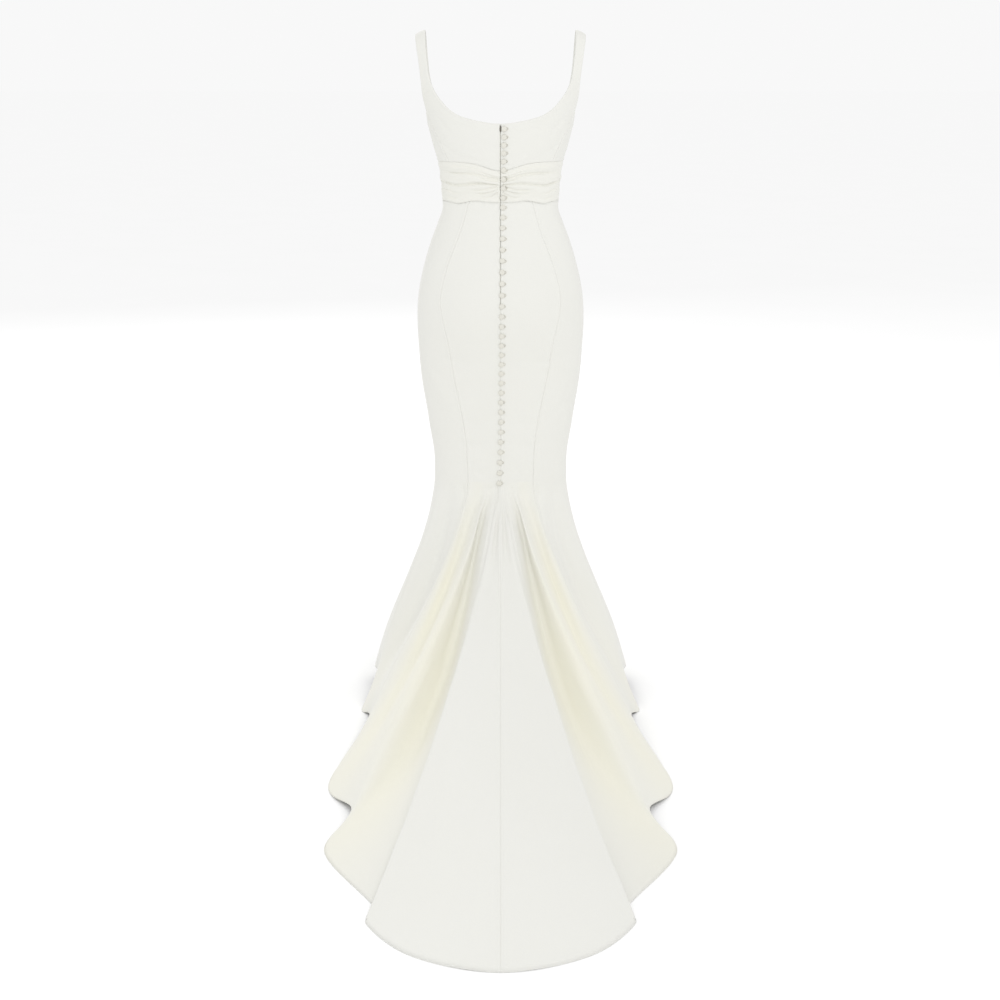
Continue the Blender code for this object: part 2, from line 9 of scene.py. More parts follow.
import bpy
import numpy as np
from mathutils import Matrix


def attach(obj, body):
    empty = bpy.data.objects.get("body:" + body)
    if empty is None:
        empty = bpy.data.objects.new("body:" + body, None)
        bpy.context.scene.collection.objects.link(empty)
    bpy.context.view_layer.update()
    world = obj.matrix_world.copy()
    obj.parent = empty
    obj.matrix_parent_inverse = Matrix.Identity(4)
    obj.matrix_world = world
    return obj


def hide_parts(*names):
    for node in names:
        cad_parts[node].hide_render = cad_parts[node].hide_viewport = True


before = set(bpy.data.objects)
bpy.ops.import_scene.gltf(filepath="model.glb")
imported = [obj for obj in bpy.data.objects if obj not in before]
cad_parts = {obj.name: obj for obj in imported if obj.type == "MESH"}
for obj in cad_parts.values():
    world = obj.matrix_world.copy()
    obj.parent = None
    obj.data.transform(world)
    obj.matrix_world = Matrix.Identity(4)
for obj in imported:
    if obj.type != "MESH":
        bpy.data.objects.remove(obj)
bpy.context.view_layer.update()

# The view: a camera four metres behind the gown at the height of its shoulders looks down along the train,
# so that the whole length from the straps to the end of the train is in the frame.
view = bpy.data.cameras.new("view_from_behind")
view.lens, view.sensor_width = 67.68, 36.0
camera = bpy.data.objects.new("view_from_behind", view)
camera.location = (0.0011, 4.0, -0.035)
camera.rotation_euler = (math.radians(90 - 13.52), 0, math.pi)
bpy.context.scene.collection.objects.link(camera)
bpy.context.scene.camera = camera

# The bodice: seven panels of heavy ivory crepe with princess seams, sewn together, pressed open and turned
# in at the neck and the armholes. The straps are cut in one with it and meet in the shoulder seams. Crepe
# is woven of hard twisted yarn: it has a fine pebbled grain and almost no shine. Its folds get a warmer
# colour painted in, as painted shade for the light that bounces to and fro in them.
CREPE_IVORY, CREPE_PALE = (0.768, 0.766, 0.722), (0.786, 0.784, 0.748)
CREPE_PAINTED_FOLD_SHADE = (0.835, 0.816, 0.700)
YARNS_PER_METRE, PEBBLES_PER_METRE = 1500.0, 620.0


class Paint:
    """One value in a material's node tree. Sums and products of values add the Math nodes they need."""

    def __init__(self, tree, socket=None):
        self.tree, self.socket = tree, socket

    def node(self, kind, output, inputs, **settings):
        """Adds a node: its settings come first, then its inputs, and one of its outputs comes back."""
        made = self.tree.nodes.new(kind)
        for name, value in settings.items():
            setattr(made, name, value)
        for name, value in inputs.items():
            if isinstance(value, Paint):
                self.tree.links.new(value.socket, made.inputs[name])
            else:
                made.inputs[name].default_value = value
        return Paint(self.tree, made.outputs[output])

    def maths(self, operation, first, second):
        return self.node("ShaderNodeMath", 0, {0: first, 1: second}, operation=operation)

    def blend(self, factor, first, second):
        """A mixture of two colours."""
        return self.node("ShaderNodeMix", 2, {0: factor, 6: first, 7: second}, data_type="RGBA")

    def noise(self, place, scale, detail=2.0, roughness=0.5):
        return self.node("ShaderNodeTexNoise", 0, {"Vector": place, "Scale": scale, "Detail": detail,
                                                   "Roughness": roughness})

    def __add__(self, other):
        return self.maths("ADD", self, other)

    def __radd__(self, other):
        return self.maths("ADD", other, self)

    def __sub__(self, other):
        return self.maths("SUBTRACT", self, other)

    def __rsub__(self, other):
        return self.maths("SUBTRACT", other, self)

    def __mul__(self, other):
        return self.maths("MULTIPLY", self, other)

    def __rmul__(self, other):
        return self.maths("MULTIPLY", other, self)


def new_finish(name):
    """A material with nothing in it yet but its shader and its output."""
    finish = bpy.data.materials.new(name)
    finish.use_nodes = True
    return finish, finish.node_tree.nodes["Principled BSDF"], Paint(finish.node_tree)


def woven(name, colour, pale, shade_colour, grain):
    """Cloth: two noises, a yarn and a few yarns wide, raise its grain, a wide one changes its tint, and the
    hollow attribute mixes in a second colour as painted shade."""
    finish, shader, paint = new_finish(name)
    place = paint.node("ShaderNodeTexCoord", "Object", {})
    cloth = paint.blend(paint.noise(place, 5.0, 3.0), (*colour, 1), (*pale, 1))
    hollow = paint.node("ShaderNodeAttribute", "Fac", {}, attribute_name="hollow")
    # Painted shade: where the hollow attribute is set, the cloth is mixed towards a warmer colour.
    cloth = paint.blend(hollow, cloth, (*shade_colour, 1))
    pebble = paint.noise(place, PEBBLES_PER_METRE, 2.0, 0.6)
    raised = paint.noise(place, YARNS_PER_METRE, 1.0) * 0.45 + pebble * 0.55
    flecked = paint.node("ShaderNodeHueSaturation", 0, {"Value": 0.965 + pebble * 0.07, "Color": cloth})
    bump = paint.node("ShaderNodeBump", 0, {"Strength": grain, "Distance": 0.0004, "Height": raised})
    finish.node_tree.links.new(flecked.socket, shader.inputs["Base Color"])
    finish.node_tree.links.new((0.70 + pebble * 0.16).socket, shader.inputs["Roughness"])
    finish.node_tree.links.new(bump.socket, shader.inputs["Normal"])
    shader.inputs["Specular IOR Level"].default_value = 0.30
    shader.inputs["Sheen Weight"].default_value = 0.12
    shader.inputs["Sheen Roughness"].default_value = 0.45
    return finish


ivory_crepe = woven("ivory crepe", CREPE_IVORY, CREPE_PALE, CREPE_PAINTED_FOLD_SHADE, 0.45)

# The form that the cut gives a general figure, as level sections from the knee to the shoulder.
FLOOR = -1.435
CAP_START, CAP_RISE = 1.330, 0.106
SHOULDER_SEAM = CAP_START + CAP_RISE * math.pi / 2
STRAP_INNER, STRAP_OUTER, STRAP_EDGE_DROP = 0.152, 0.176, 0.010
MIDRIFF_TOP, UNDERARM = 1.171, 1.246
MIDRIFF_DIP, MIDRIFF_DIP_WIDTH, MIDRIFF_FRONT_DIP = 0.0175, 0.0447, 0.35
ROUNDNESS = 0.85
BODY = np.array((
    # height, half width, depth behind, depth before
    (0.500, 0.1425, 0.092, 0.092),
    (0.550, 0.1437, 0.092, 0.092),
    (0.619, 0.1542, 0.096, 0.094),
    (0.687, 0.1646, 0.102, 0.097),
    (0.755, 0.1726, 0.110, 0.100),
    (0.834, 0.1768, 0.121, 0.104),
    (0.894, 0.1738, 0.122, 0.106),
    (0.947, 0.1634, 0.110, 0.104),
    (1.007, 0.1453, 0.091, 0.099),
    (1.045, 0.1305, 0.079, 0.095),
    (1.073, 0.1210, 0.074, 0.092),
    (1.091, 0.1214, 0.073, 0.091),
    (1.130, 0.1243, 0.079, 0.098),
    (1.172, 0.1310, 0.089, 0.110),
    (1.200, 0.1396, 0.094, 0.117),
    (1.252, 0.1535, 0.100, 0.116),
    (1.278, 0.1625, 0.101, 0.112),
    (1.305, 0.1730, 0.100, 0.107),
    (1.335, 0.1840, 0.097, 0.100),
    (1.380, 0.1980, 0.095, 0.097),
    (1.435, 0.2100, 0.094, 0.095),
))
FULLNESS = (
    # half spacing, height, width, tall, depth, and the side it is on: 1 behind, -1 in front
    (0.080, 1.195, 0.052, 0.050, 0.022, -1),
    (0.078, 0.850, 0.070, 0.075, 0.007, 1),
)


def smooth(stations, values, at):
    """Cubic pieces through a table's rows, with slopes taken from the rows on both sides."""
    stations, values = np.asarray(stations, float), np.asarray(values, float)
    at = np.clip(np.asarray(at, float), stations[0], stations[-1])
    slopes = np.gradient(values, stations, axis=0)
    row = np.clip(np.searchsorted(stations, at, side="right") - 1, 0, len(stations) - 2)
    span = stations[row + 1] - stations[row]
    part = (at - stations[row]) / span
    if values.ndim == 2:
        span, part = span[..., None], part[..., None]
    rest = 1 - part
    start = (1 + 2 * part) * rest**2 * values[row] + part * rest**2 * span * slopes[row]
    return start + part**2 * (3 - 2 * part) * values[row + 1] - part**2 * rest * span * slopes[row + 1]


def smooth_step(share):
    """Goes from 0 to 1 with level ends."""
    share = np.clip(share, 0, 1)
    return share * share * (3 - 2 * share)


def over_shoulder(rise):
    """A rise on the body as a height, and as the angle over the shoulder's quarter ellipse."""
    over = np.clip((rise - CAP_START) / CAP_RISE, 0, math.pi / 2)
    return np.minimum(rise, CAP_START) + CAP_RISE * np.sin(over), over


def figure(angle, rise):
    """A point of the fitted part: x is the section's half width times the angle's sine, and y is its depth
    times the cosine to a power below 1, which squares the section a little. Angle 0 is the centre back."""
    height, over = over_shoulder(rise)
    half_width, back, front = np.moveaxis(smooth(BODY[:, 0], BODY[:, 1:], height), -1, 0)
    x, side = half_width * np.sin(angle), np.sign(np.cos(angle))
    reach = np.where(side > 0, back, front) * np.abs(np.cos(angle)) ** ROUNDNESS
    for spacing, centre, width, tall, depth, where in FULLNESS:
        both = np.exp(-(((x - spacing) / width) ** 2)) + np.exp(-(((x + spacing) / width) ** 2))
        full = depth * np.abs(np.cos(angle)) * both * np.exp(-(((height - centre) / tall) ** 2))
        reach = reach + np.where(side == where, full, 0)
    edge = np.clip((np.abs(x) - STRAP_INNER) / (STRAP_OUTER - STRAP_INNER), 0, 1)
    height = height - STRAP_EDGE_DROP * edge**2 * np.sin(over) ** 4
    return np.stack([x, side * reach * np.cos(over), height + FLOOR], axis=-1)


def figure_by_degrees(degrees, rise):
    return figure(np.radians(degrees), rise)


def angle_at(x, rise, facing):
    """The angle of a point at a distance from the middle, on the back or the front."""
    turn = np.arcsin(np.clip(x / smooth(BODY[:, 0], BODY[:, 1], over_shoulder(rise)[0]), -1, 1))
    return turn if facing == "back" else math.pi - turn


def outward(surface, across, along, sign=1, step=1e-4):
    """The direction out of the cloth: the cross product of two small steps on its surface."""
    over = surface(across + step, along) - surface(across - step, along)
    up = surface(across, along + step) - surface(across, along - step)
    away = np.cross(over, up) * -sign
    return away / np.linalg.norm(away, axis=-1, keepdims=True)


def midriff_top(angle):
    """The seam over the midriff band: level, with a dip at the centre back and a slighter one in front."""
    dip = MIDRIFF_DIP * np.exp(-((np.interp(MIDRIFF_TOP, BODY[:, 0], BODY[:, 1]) * np.sin(angle)
                                  / MIDRIFF_DIP_WIDTH) ** 2))
    return MIDRIFF_TOP - np.where(np.cos(angle) > 0, dip, MIDRIFF_FRONT_DIP * dip)


# The cut edges, as distance from the middle and rise.
BACK_NECKLINE = (
    (0.0000, 1.2500), (0.0280, 1.2498), (0.0590, 1.2528), (0.0850, 1.2605), (0.1060, 1.2747),
    (0.1220, 1.2925), (0.1357, 1.3130), (0.1450, 1.3370), (0.1505, 1.3732), (0.1535, 1.4066),
    (0.1545, 1.4500), (0.1550, SHOULDER_SEAM),
)
FRONT_NECKLINE = (
    (0.0000, 1.2285), (0.0300, 1.2300), (0.0620, 1.2370), (0.0920, 1.2500), (0.1150, 1.2700),
    (0.1310, 1.2900), (0.1430, 1.3150), (0.1500, 1.3450), (0.1530, 1.3800), (0.1545, 1.4200),
    (0.1550, SHOULDER_SEAM),
)
SCOOP_POINTS = 6
BACK_PRINCESS = ((0.1070, 1.171), (0.1286, 1.218), (0.1540, 1.272))
BACK_ARMHOLE = (
    (0.1540, 1.2720), (0.1610, 1.3020), (0.1640, 1.3350), (0.1685, 1.3732), (0.1732, 1.4135),
    (0.1755, 1.4500), (STRAP_OUTER, SHOULDER_SEAM),
)
FRONT_PRINCESS = ((0.0700, 1.171), (0.0800, 1.200), (0.1080, 1.245), (0.1460, 1.285))
FRONT_ARMHOLE = (
    (0.1460, 1.2850), (0.1600, 1.3150), (0.1650, 1.3370), (0.1700, 1.3732), (0.1740, 1.4135),
    (0.1755, 1.4500), (STRAP_OUTER, SHOULDER_SEAM),
)
MIDDLE_ROWS, SCOOP_ROWS, STRAP_ROWS = 24, 50, 60

WALL = 0.0013
SEAM_STEPS = np.array((0.0, 0.0006, 0.0012, 0.0020, 0.0030, 0.0044, 0.0062))
SEAM_SINK, SEAM_REACH = 0.0004, 0.0008
PRESSED, ALLOWANCE, ALLOWANCE_SOFTNESS = 0.00075, 0.0064, 0.0019
PUCKER, PUCKER_SPACING, PUCKER_REACH = 0.00016, 0.0105, 0.0060
EDGE_SINK, EDGE_REACH, TURNING = 0.0007, 0.0012, 0.009
OPENING_END, OPENING_GAP, OPENING_SINK, OPENING_REACH = 0.872, 0.0003, 0.0009, 0.0014


def cut_edge(points, facing, counts):
    """A cut edge as angles and rises: a smooth curve through the table, spaced evenly along each stretch
    between the named points."""
    points = np.array(points)
    steps = np.concatenate([[0], np.cumsum(np.hypot(*np.diff(points, axis=0).T))])
    stops = [0.0] + [steps[row] for row, _ in counts]
    spots = np.concatenate([np.linspace(a, b, count + 1)[:-1]
                            for a, b, (_, count) in zip(stops[:-1], stops[1:], counts)] + [[stops[-1]]])
    x, rise = smooth(steps, points, spots).T
    return np.stack([angle_at(x, rise, facing), rise], axis=-1)


def straight_edge(start, end, count):
    share = np.linspace(0, 1, count + 1)[:, None]
    return np.array(start) * (1 - share) + np.array(end) * share


def shares_across(first, second, surface, columns):
    """Each row's shares of the way across: fixed steps in metres beside both seams, even ones between."""
    probe = np.linspace(0, 1, 25)[None, :, None]
    row = surface(*np.moveaxis(first[:, None] * (1 - probe) + second[:, None] * probe, -1, 0))
    width = np.linalg.norm(np.diff(row, axis=1), axis=-1).sum(axis=1)[:, None]
    near = SEAM_STEPS[None] / width * np.minimum(1, width / (4 * SEAM_STEPS[-1]))
    inner = np.linspace(0, 1, columns)[None, 1:-1]
    middle = near[:, -1:] + (1 - 2 * near[:, -1:]) * inner
    return np.concatenate([near, middle, 1 - near[:, ::-1]], axis=1)


def from_edge(points, edge):
    """Metres from one edge of a grid along its rows or columns, and metres run along that edge."""
    if edge in ("bottom", "top"):
        points = points.swapaxes(0, 1)
    steps = np.linalg.norm(np.diff(points, axis=1), axis=-1)
    distance = np.concatenate([np.zeros((len(points), 1)), np.cumsum(steps, axis=1)], axis=1)
    line = points[:, 0]
    if edge in ("last", "top"):
        distance, line = distance[:, -1:] - distance, points[:, -1]
    run = np.concatenate([[0], np.cumsum(np.linalg.norm(np.diff(line, axis=0), axis=-1))])[:, None]
    return (distance.T, run.T) if edge in ("bottom", "top") else (distance, run)


def edge_relief(points, turned):
    """What sewing does to the cloth's edges. A seam's line sinks in, the allowance pressed under it stands
    out a little, and the stitches pucker it. A turned edge rolls in over its last millimetre and is double
    for the width of its turning. turned gives, for each edge, the share of it that is turned in."""
    relief = np.zeros(points.shape[:2])
    for edge, share in turned.items():
        distance, run = from_edge(points, edge)
        sewn = -SEAM_SINK * np.exp(-((distance / SEAM_REACH) ** 2))
        sewn = sewn + PRESSED * np.exp(-(((distance - ALLOWANCE / 2) / ALLOWANCE_SOFTNESS) ** 2))
        stitch = np.sin(2 * np.pi * run / PUCKER_SPACING + 2 * np.sin(run / 0.031))
        sewn = sewn + PUCKER * stitch * np.exp(-((distance / PUCKER_REACH) ** 2))
        rolled = -EDGE_SINK * np.exp(-((distance / EDGE_REACH) ** 2))
        rolled = rolled + 0.0003 * smooth_step(1 - distance / TURNING)
        relief = relief + share * rolled + (1 - share) * sewn
    return relief


def lay_creases(points, surface, creases, side, warm=0.0):
    """Creases as soft troughs, or ridges where the depth is above 0: the depth times a bell curve of the
    distance from a line on the surface. They fade towards their ends by the given strengths, and vary along
    their length. Comes back with the relief and with painted shade for the troughs: warm times the bell."""
    relief, painted_shade = np.zeros(points.shape[:2]), np.zeros(points.shape[:2])
    for number, (path, half_width, depth, start, end) in enumerate(creases):
        route = smooth(np.arange(len(path)), path, np.linspace(0, len(path) - 1, 28))
        line = surface(*route.T)
        spread = 2.6 * half_width
        near = np.all((points > line.min(0) - spread) & (points < line.max(0) + spread), axis=-1)
        steps = np.diff(line, axis=0)
        gap = points[near][:, None] - line[:-1]
        share = np.clip((gap * steps).sum(-1) / (steps**2).sum(-1), 0, 1)
        distance = np.linalg.norm(gap - share[..., None] * steps, axis=-1)
        nearest = distance.argmin(axis=1)
        rows = np.arange(len(nearest))
        along = (nearest + share[rows, nearest]) / len(steps)
        fade = (start + (1 - start) * smooth_step(along / 0.4)) * (end + (1 - end) * smooth_step((1 - along) / 0.4))
        lean = side if line[:, 1].mean() > 0 else 1
        uneven = 1 + 0.22 * np.sin(8 * along + 2.4 * number + lean)
        width = half_width * (1 + 0.20 * np.sin(6 * along + 1.7 * number - lean))
        bell = fade * np.exp(-((distance[rows, nearest] / width) ** 2))
        relief[near] += depth * uneven * bell
        # Painted shade: each trough adds warm times its bell curve to the cloth's warmer tint.
        painted_shade[near] += warm * bell * (depth < 0)
    return relief, painted_shade


def unlevel(points, size, height, phase):
    """Cloth is never quite level: slow waves in three directions, each bent by the next. Behind the side
    seams they take a phase of their own, so that the right half isn't the left one's mirror image."""
    turns = points @ np.array(((0.8, 0.1, 0.5), (-0.5, 0.9, 0.3), (0.3, -0.4, 0.8))) * (2 * np.pi / size)
    bent = turns + 1.3 * np.sin(0.6 * np.roll(turns, 1, axis=-1))
    bent = bent + phase * smooth_step(points[..., 1:2] / 0.06)
    return height / 3 * np.sin(bent).sum(-1)


def put_cloth(name, outer, away, nodes, painted_shade, fold=False, side=1, finish=None,
              wall=WALL):
    """A closed wall of cloth: the outer face is the grid, the inner one lies a wall's thickness in, and a rim
    joins them. A piece on the fold has no rim at the middle and is welded to its mirror image there. Its cut
    is its flat width, length and area."""
    rows, columns = outer.shape[:2]
    count = rows * columns
    points = np.concatenate([outer.reshape(-1, 3), (outer - away * wall).reshape(-1, 3)])
    number = np.arange(count).reshape(rows, columns)
    quads = np.stack([number[:-1, :-1], number[:-1, 1:], number[1:, 1:], number[1:, :-1]], -1).reshape(-1, 4)
    edge = np.concatenate([number[0, :-1], number[:-1, -1], number[-1, :0:-1], number[:0:-1, 0]])
    onward = np.roll(edge, -1)
    if fold:
        off_middle = (np.abs(points[edge, 0]) > 1e-6) | (np.abs(points[onward, 0]) > 1e-6)
        edge, onward = edge[off_middle], onward[off_middle]
    faces = np.concatenate([quads[:, ::-1], quads + count,
                            np.stack([edge, onward, onward + count, edge + count], -1)])
    # The painted shade goes into the hollow attribute, which the finish mixes in as a warmer colour.
    tint = np.tile(np.clip(painted_shade, 0, 1).ravel(), 2)
    if fold:
        other = np.arange(len(points)) + len(points)
        at_middle = np.abs(points[:, 0]) < 1e-6
        other[at_middle] = np.flatnonzero(at_middle)
        faces = np.concatenate([faces, other[faces[:, ::-1]]])
        points, tint = np.concatenate([points, points * (-1, 1, 1)]), np.tile(tint, 2)
        used, faces = np.unique(faces, return_inverse=True)
        faces, points, tint = faces.reshape(-1, 4), points[used], tint[used]
    if side < 0:
        points, faces = points * (-1, 1, 1), faces[:, ::-1]
    mesh = bpy.data.meshes.new(name)
    mesh.from_pydata(points, [], faces)
    mesh.shade_smooth()
    mesh.materials.append(finish or ivory_crepe)
    mesh.attributes.new("hollow", "FLOAT", "POINT").data.foreach_set("value", tint.astype(np.float32))
    piece = bpy.data.objects.new(name, mesh)
    bpy.context.scene.collection.objects.link(piece)
    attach(piece, "root")
    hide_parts(*nodes)
    return piece


def figure_panel(first, second, columns, sag=0.0):
    """A bodice panel between two edges: straight across in angle and rise, laid on the midriff's seam."""
    share = shares_across(first, second, figure, columns)[..., None]
    grid = first[:, None] * (1 - share) + second[:, None] * share
    climb = np.linspace(0, 1, len(first))[:, None]
    grid[..., 1] -= sag * climb**3 * np.sin(np.pi * share[..., 0])
    grid[..., 1] += (midriff_top(grid[..., 0]) - grid[0, :, 1]) * (1 - climb) ** 2
    angle, rise = grid[..., 0], grid[..., 1]
    return figure(angle, rise), outward(figure, angle, rise)


def open_at_back(points, away):
    """The two edges of the opening roll in and stand a little apart, down to the end of the zip."""
    distance, _ = from_edge(points, "first")
    above = smooth_step((points[..., 2] - FLOOR - OPENING_END) / 0.008)
    points = points - away * (OPENING_SINK * above * np.exp(-((distance / OPENING_REACH) ** 2)))[..., None]
    points[..., 0] += OPENING_GAP * above * np.exp(-distance / OPENING_REACH)
    return points


seam_rows = MIDDLE_ROWS + SCOOP_ROWS
all_rows = np.arange(seam_rows + STRAP_ROWS + 1)[:, None]
side_seam = straight_edge((math.pi / 2, MIDRIFF_TOP), (math.pi / 2, UNDERARM), seam_rows)
seams, outlines = {}, {}
for facing, neckline, princess, armhole, middle in (
        ("back", BACK_NECKLINE, BACK_PRINCESS, BACK_ARMHOLE, 0.0),
        ("front", FRONT_NECKLINE, FRONT_PRINCESS, FRONT_ARMHOLE, math.pi)):
    seams[facing] = cut_edge(princess, facing, [(-1, seam_rows)])
    up_middle = straight_edge((middle, midriff_top(middle)), (middle, neckline[0][1]), MIDDLE_ROWS)
    round_neck = cut_edge(neckline, facing, [(SCOOP_POINTS - 1, SCOOP_ROWS), (-1, STRAP_ROWS)])
    outlines[facing] = (np.concatenate([up_middle, round_neck[1:]]),
                        np.concatenate([seams[facing], cut_edge(armhole, facing, [(-1, STRAP_ROWS)])[1:]]))
at_neck, on_strap = 1.0 * (all_rows > MIDDLE_ROWS), 1.0 * (all_rows > seam_rows)

# Creases: their path as angle in degrees and rise, half width, depth, and strength at both ends.
BODICE_CREASES = (
    (((56, 1.262), (50, 1.244), (42, 1.226)), 0.0050, -0.0008, 0.3, 0.0),
    (((60, 1.250), (53, 1.232), (46, 1.214)), 0.0045, 0.0006, 0.2, 0.0),
    (((66, 1.226), (56, 1.205), (44, 1.190), (34, 1.184)), 0.0050, -0.0007, 0.4, 0.0),
    (((40, 1.252), (28, 1.240), (14, 1.236)), 0.0060, -0.0006, 0.2, 0.0),
    (((48, 1.186), (34, 1.190), (20, 1.181), (8, 1.172)), 0.0050, 0.0006, 0.1, 0.1),
    (((4, 1.206), (12, 1.209), (24, 1.206)), 0.0045, -0.0004, 0.5, 0.0),
    (((4, 1.226), (10, 1.228), (19, 1.226)), 0.0040, -0.0003, 0.5, 0.0),
    (((104, 1.236), (112, 1.222), (122, 1.208)), 0.0050, -0.0009, 0.4, 0.0),
    (((100, 1.216), (110, 1.204), (121, 1.196)), 0.0050, 0.0006, 0.3, 0.0),
    (((98, 1.192), (108, 1.184), (120, 1.181)), 0.0045, -0.0007, 0.5, 0.0),
    (((132, 1.266), (140, 1.250), (150, 1.236)), 0.0060, -0.0007, 0.3, 0.0),
    (((146, 1.188), (160, 1.183), (175, 1.181)), 0.0050, 0.0005, 0.0, 0.6),
    (((150, 1.210), (165, 1.214), (180, 1.213)), 0.0070, -0.0006, 0.0, 1.0),
)
for name, (first, second), columns, sag, turned, cut in (
        ("back_bodice", outlines["back"], 54, 0.0,
         {"first": at_neck, "last": on_strap, "bottom": 0, "top": 0}, (0.180, 0.350, 0.0265)),
        ("side_back_bodice", (seams["back"], side_seam), 22, 0.003,
         {"first": 0, "last": 0, "bottom": 0, "top": 1}, (0.085, 0.135, 0.0065)),
        ("side_front_bodice", (side_seam, seams["front"]), 42, 0.010,
         {"first": 0, "last": 0, "bottom": 0, "top": 1}, (0.150, 0.170, 0.0145)),
        ("front_bodice", outlines["front"][::-1], 54, 0.0,
         {"first": on_strap, "bottom": 0, "top": 0}, (0.180, 0.350, 0.0300))):
    flat, away = figure_panel(first, second, columns, sag)
    on_fold = name == "front_bodice"
    for side, word in ((1, "_left"), (-1, "_right"))[:1 if on_fold else 2]:
        relief, painted_shade = lay_creases(flat, figure_by_degrees, BODICE_CREASES, side)
        relief = relief + edge_relief(flat, turned) + unlevel(flat, 0.075, 0.0003, side)
        if on_fold:
            distance, _ = from_edge(flat, "last")
            rolled = -EDGE_SINK * np.exp(-((distance / EDGE_REACH) ** 2)) + 0.0003 * smooth_step(1 - distance / TURNING)
            relief = relief + at_neck * rolled
        points = flat + away * relief[..., None]
        if name == "back_bodice":
            points = open_at_back(points, away)
        if on_fold:
            points[:MIDDLE_ROWS + 1, -1, 0] = 0
        label = name if on_fold else name + word
        put_cloth(label + "_cloth", points, away, [label], painted_shade, fold=on_fold, side=side)

# The draped midriff: a bias band gathered into the seams at the centre back, so that its soft pleats run
# round the body and crowd together beside the opening. It is sewn to the bodice above and the skirt below.
WAIST = 1.089
WAIST_WAVES = ((48.0, -0.0032, 10.0), (25.0, 0.0030, 10.0))
PLEATS = (
    # level at the side, level at the centre back, half width, how far it stands out
    (0.90, 0.86, 0.10, 0.0035),
    (0.60, 0.62, 0.11, 0.0040),
    (0.24, 0.38, 0.13, 0.0035),
)
FLATTER_AT_SIDE, BAND_SEWN_DOWN = 0.65, 0.09
BAND_CREASES = (
    # path as angle in degrees and level, half width, depth, and strength at both ends
    (((86, 0.50), (73, 0.49), (60, 0.455), (49, 0.436), (30, 0.449), (15, 0.530), (3, 0.560)), 0.0020, -0.0032, 0.5, 1.0),
    (((88, 0.56), (73, 0.56), (59, 0.520), (44, 0.510), (30, 0.530), (16, 0.610), (4, 0.640)), 0.0026, 0.0015, 0.4, 0.2),
    (((78, 0.76), (60, 0.745), (44, 0.735), (30, 0.730), (14, 0.735), (3, 0.740)), 0.0020, -0.0025, 0.0, 1.0),
    (((34, 0.300), (26, 0.280), (17, 0.331), (9, 0.440), (3, 0.500)), 0.0017, -0.0022, 0.0, 1.0),
    (((30, 0.180), (20, 0.200), (11, 0.288), (3, 0.420)), 0.0016, -0.0020, 0.0, 1.0),
    (((24, 0.110), (15, 0.120), (8, 0.190), (3, 0.310)), 0.0014, -0.0015, 0.0, 1.0),
    (((38, 0.370), (26, 0.360), (15, 0.440), (6, 0.510)), 0.0017, 0.0013, 0.0, 0.4),
    (((24, 0.660), (14, 0.670), (3, 0.690)), 0.0014, -0.0015, 0.0, 1.0),
    (((28, 0.850), (14, 0.830), (3, 0.800)), 0.0015, -0.0015, 0.0, 1.0),
    (((66, 0.930), (44, 0.905), (22, 0.920), (8, 0.930)), 0.0019, -0.0011, 0.0, 0.2),
    (((88, 0.300), (66, 0.290), (52, 0.240), (40, 0.230)), 0.0020, -0.0015, 0.6, 0.0),
    (((70, 0.130), (56, 0.100), (44, 0.120)), 0.0022, -0.0011, 0.1, 0.1),
    (((88, 0.660), (100, 0.640), (118, 0.650), (140, 0.620)), 0.0020, -0.0022, 0.8, 0.0),
    (((90, 0.420), (108, 0.430), (130, 0.400), (156, 0.420), (180, 0.430)), 0.0022, -0.0028, 0.8, 1.0),
    (((90, 0.230), (104, 0.200), (122, 0.210)), 0.0019, -0.0018, 0.8, 0.0),
    (((132, 0.760), (150, 0.745), (180, 0.755)), 0.0022, -0.0025, 0.0, 1.0),
    (((90, 0.840), (104, 0.830), (120, 0.800)), 0.0017, -0.0018, 0.8, 0.0),
    (((120, 0.140), (144, 0.170), (164, 0.150)), 0.0020, -0.0015, 0.0, 0.0),
    (((136, 0.520), (156, 0.535), (180, 0.530)), 0.0026, 0.0013, 0.0, 1.0),
)


def waist_line(angle):
    """The waist seam: level in front, with a slow wave at the back where the gathers draw on it."""
    waves = [height * np.exp(-(((np.degrees(np.abs(angle)) - at) / width) ** 2)) for at, height, width in WAIST_WAVES]
    return WAIST + sum(waves)


def band(angle, level):
    """The figure between the waist seam, level 0, and the seam above, level 1, with three pleats that stand
    out of it as bell curves across the band."""
    rise = waist_line(angle) + level * (midriff_top(angle) - waist_line(angle))
    to_side = np.sin(angle) ** 2
    height = np.zeros(np.shape(to_side * level))
    for side_level, centre_level, width, depth in PLEATS:
        at = centre_level + (side_level - centre_level) * to_side
        height = height + depth * np.exp(-(((level - at) / width) ** 2))
    height = height * (1 - FLATTER_AT_SIDE * to_side) * smooth_step((1 - level) / BAND_SEWN_DOWN)
    return figure(angle, rise) + outward(figure, angle, rise) * height[..., None]


def band_by_degrees(degrees, level):
    return band(np.radians(degrees), level)


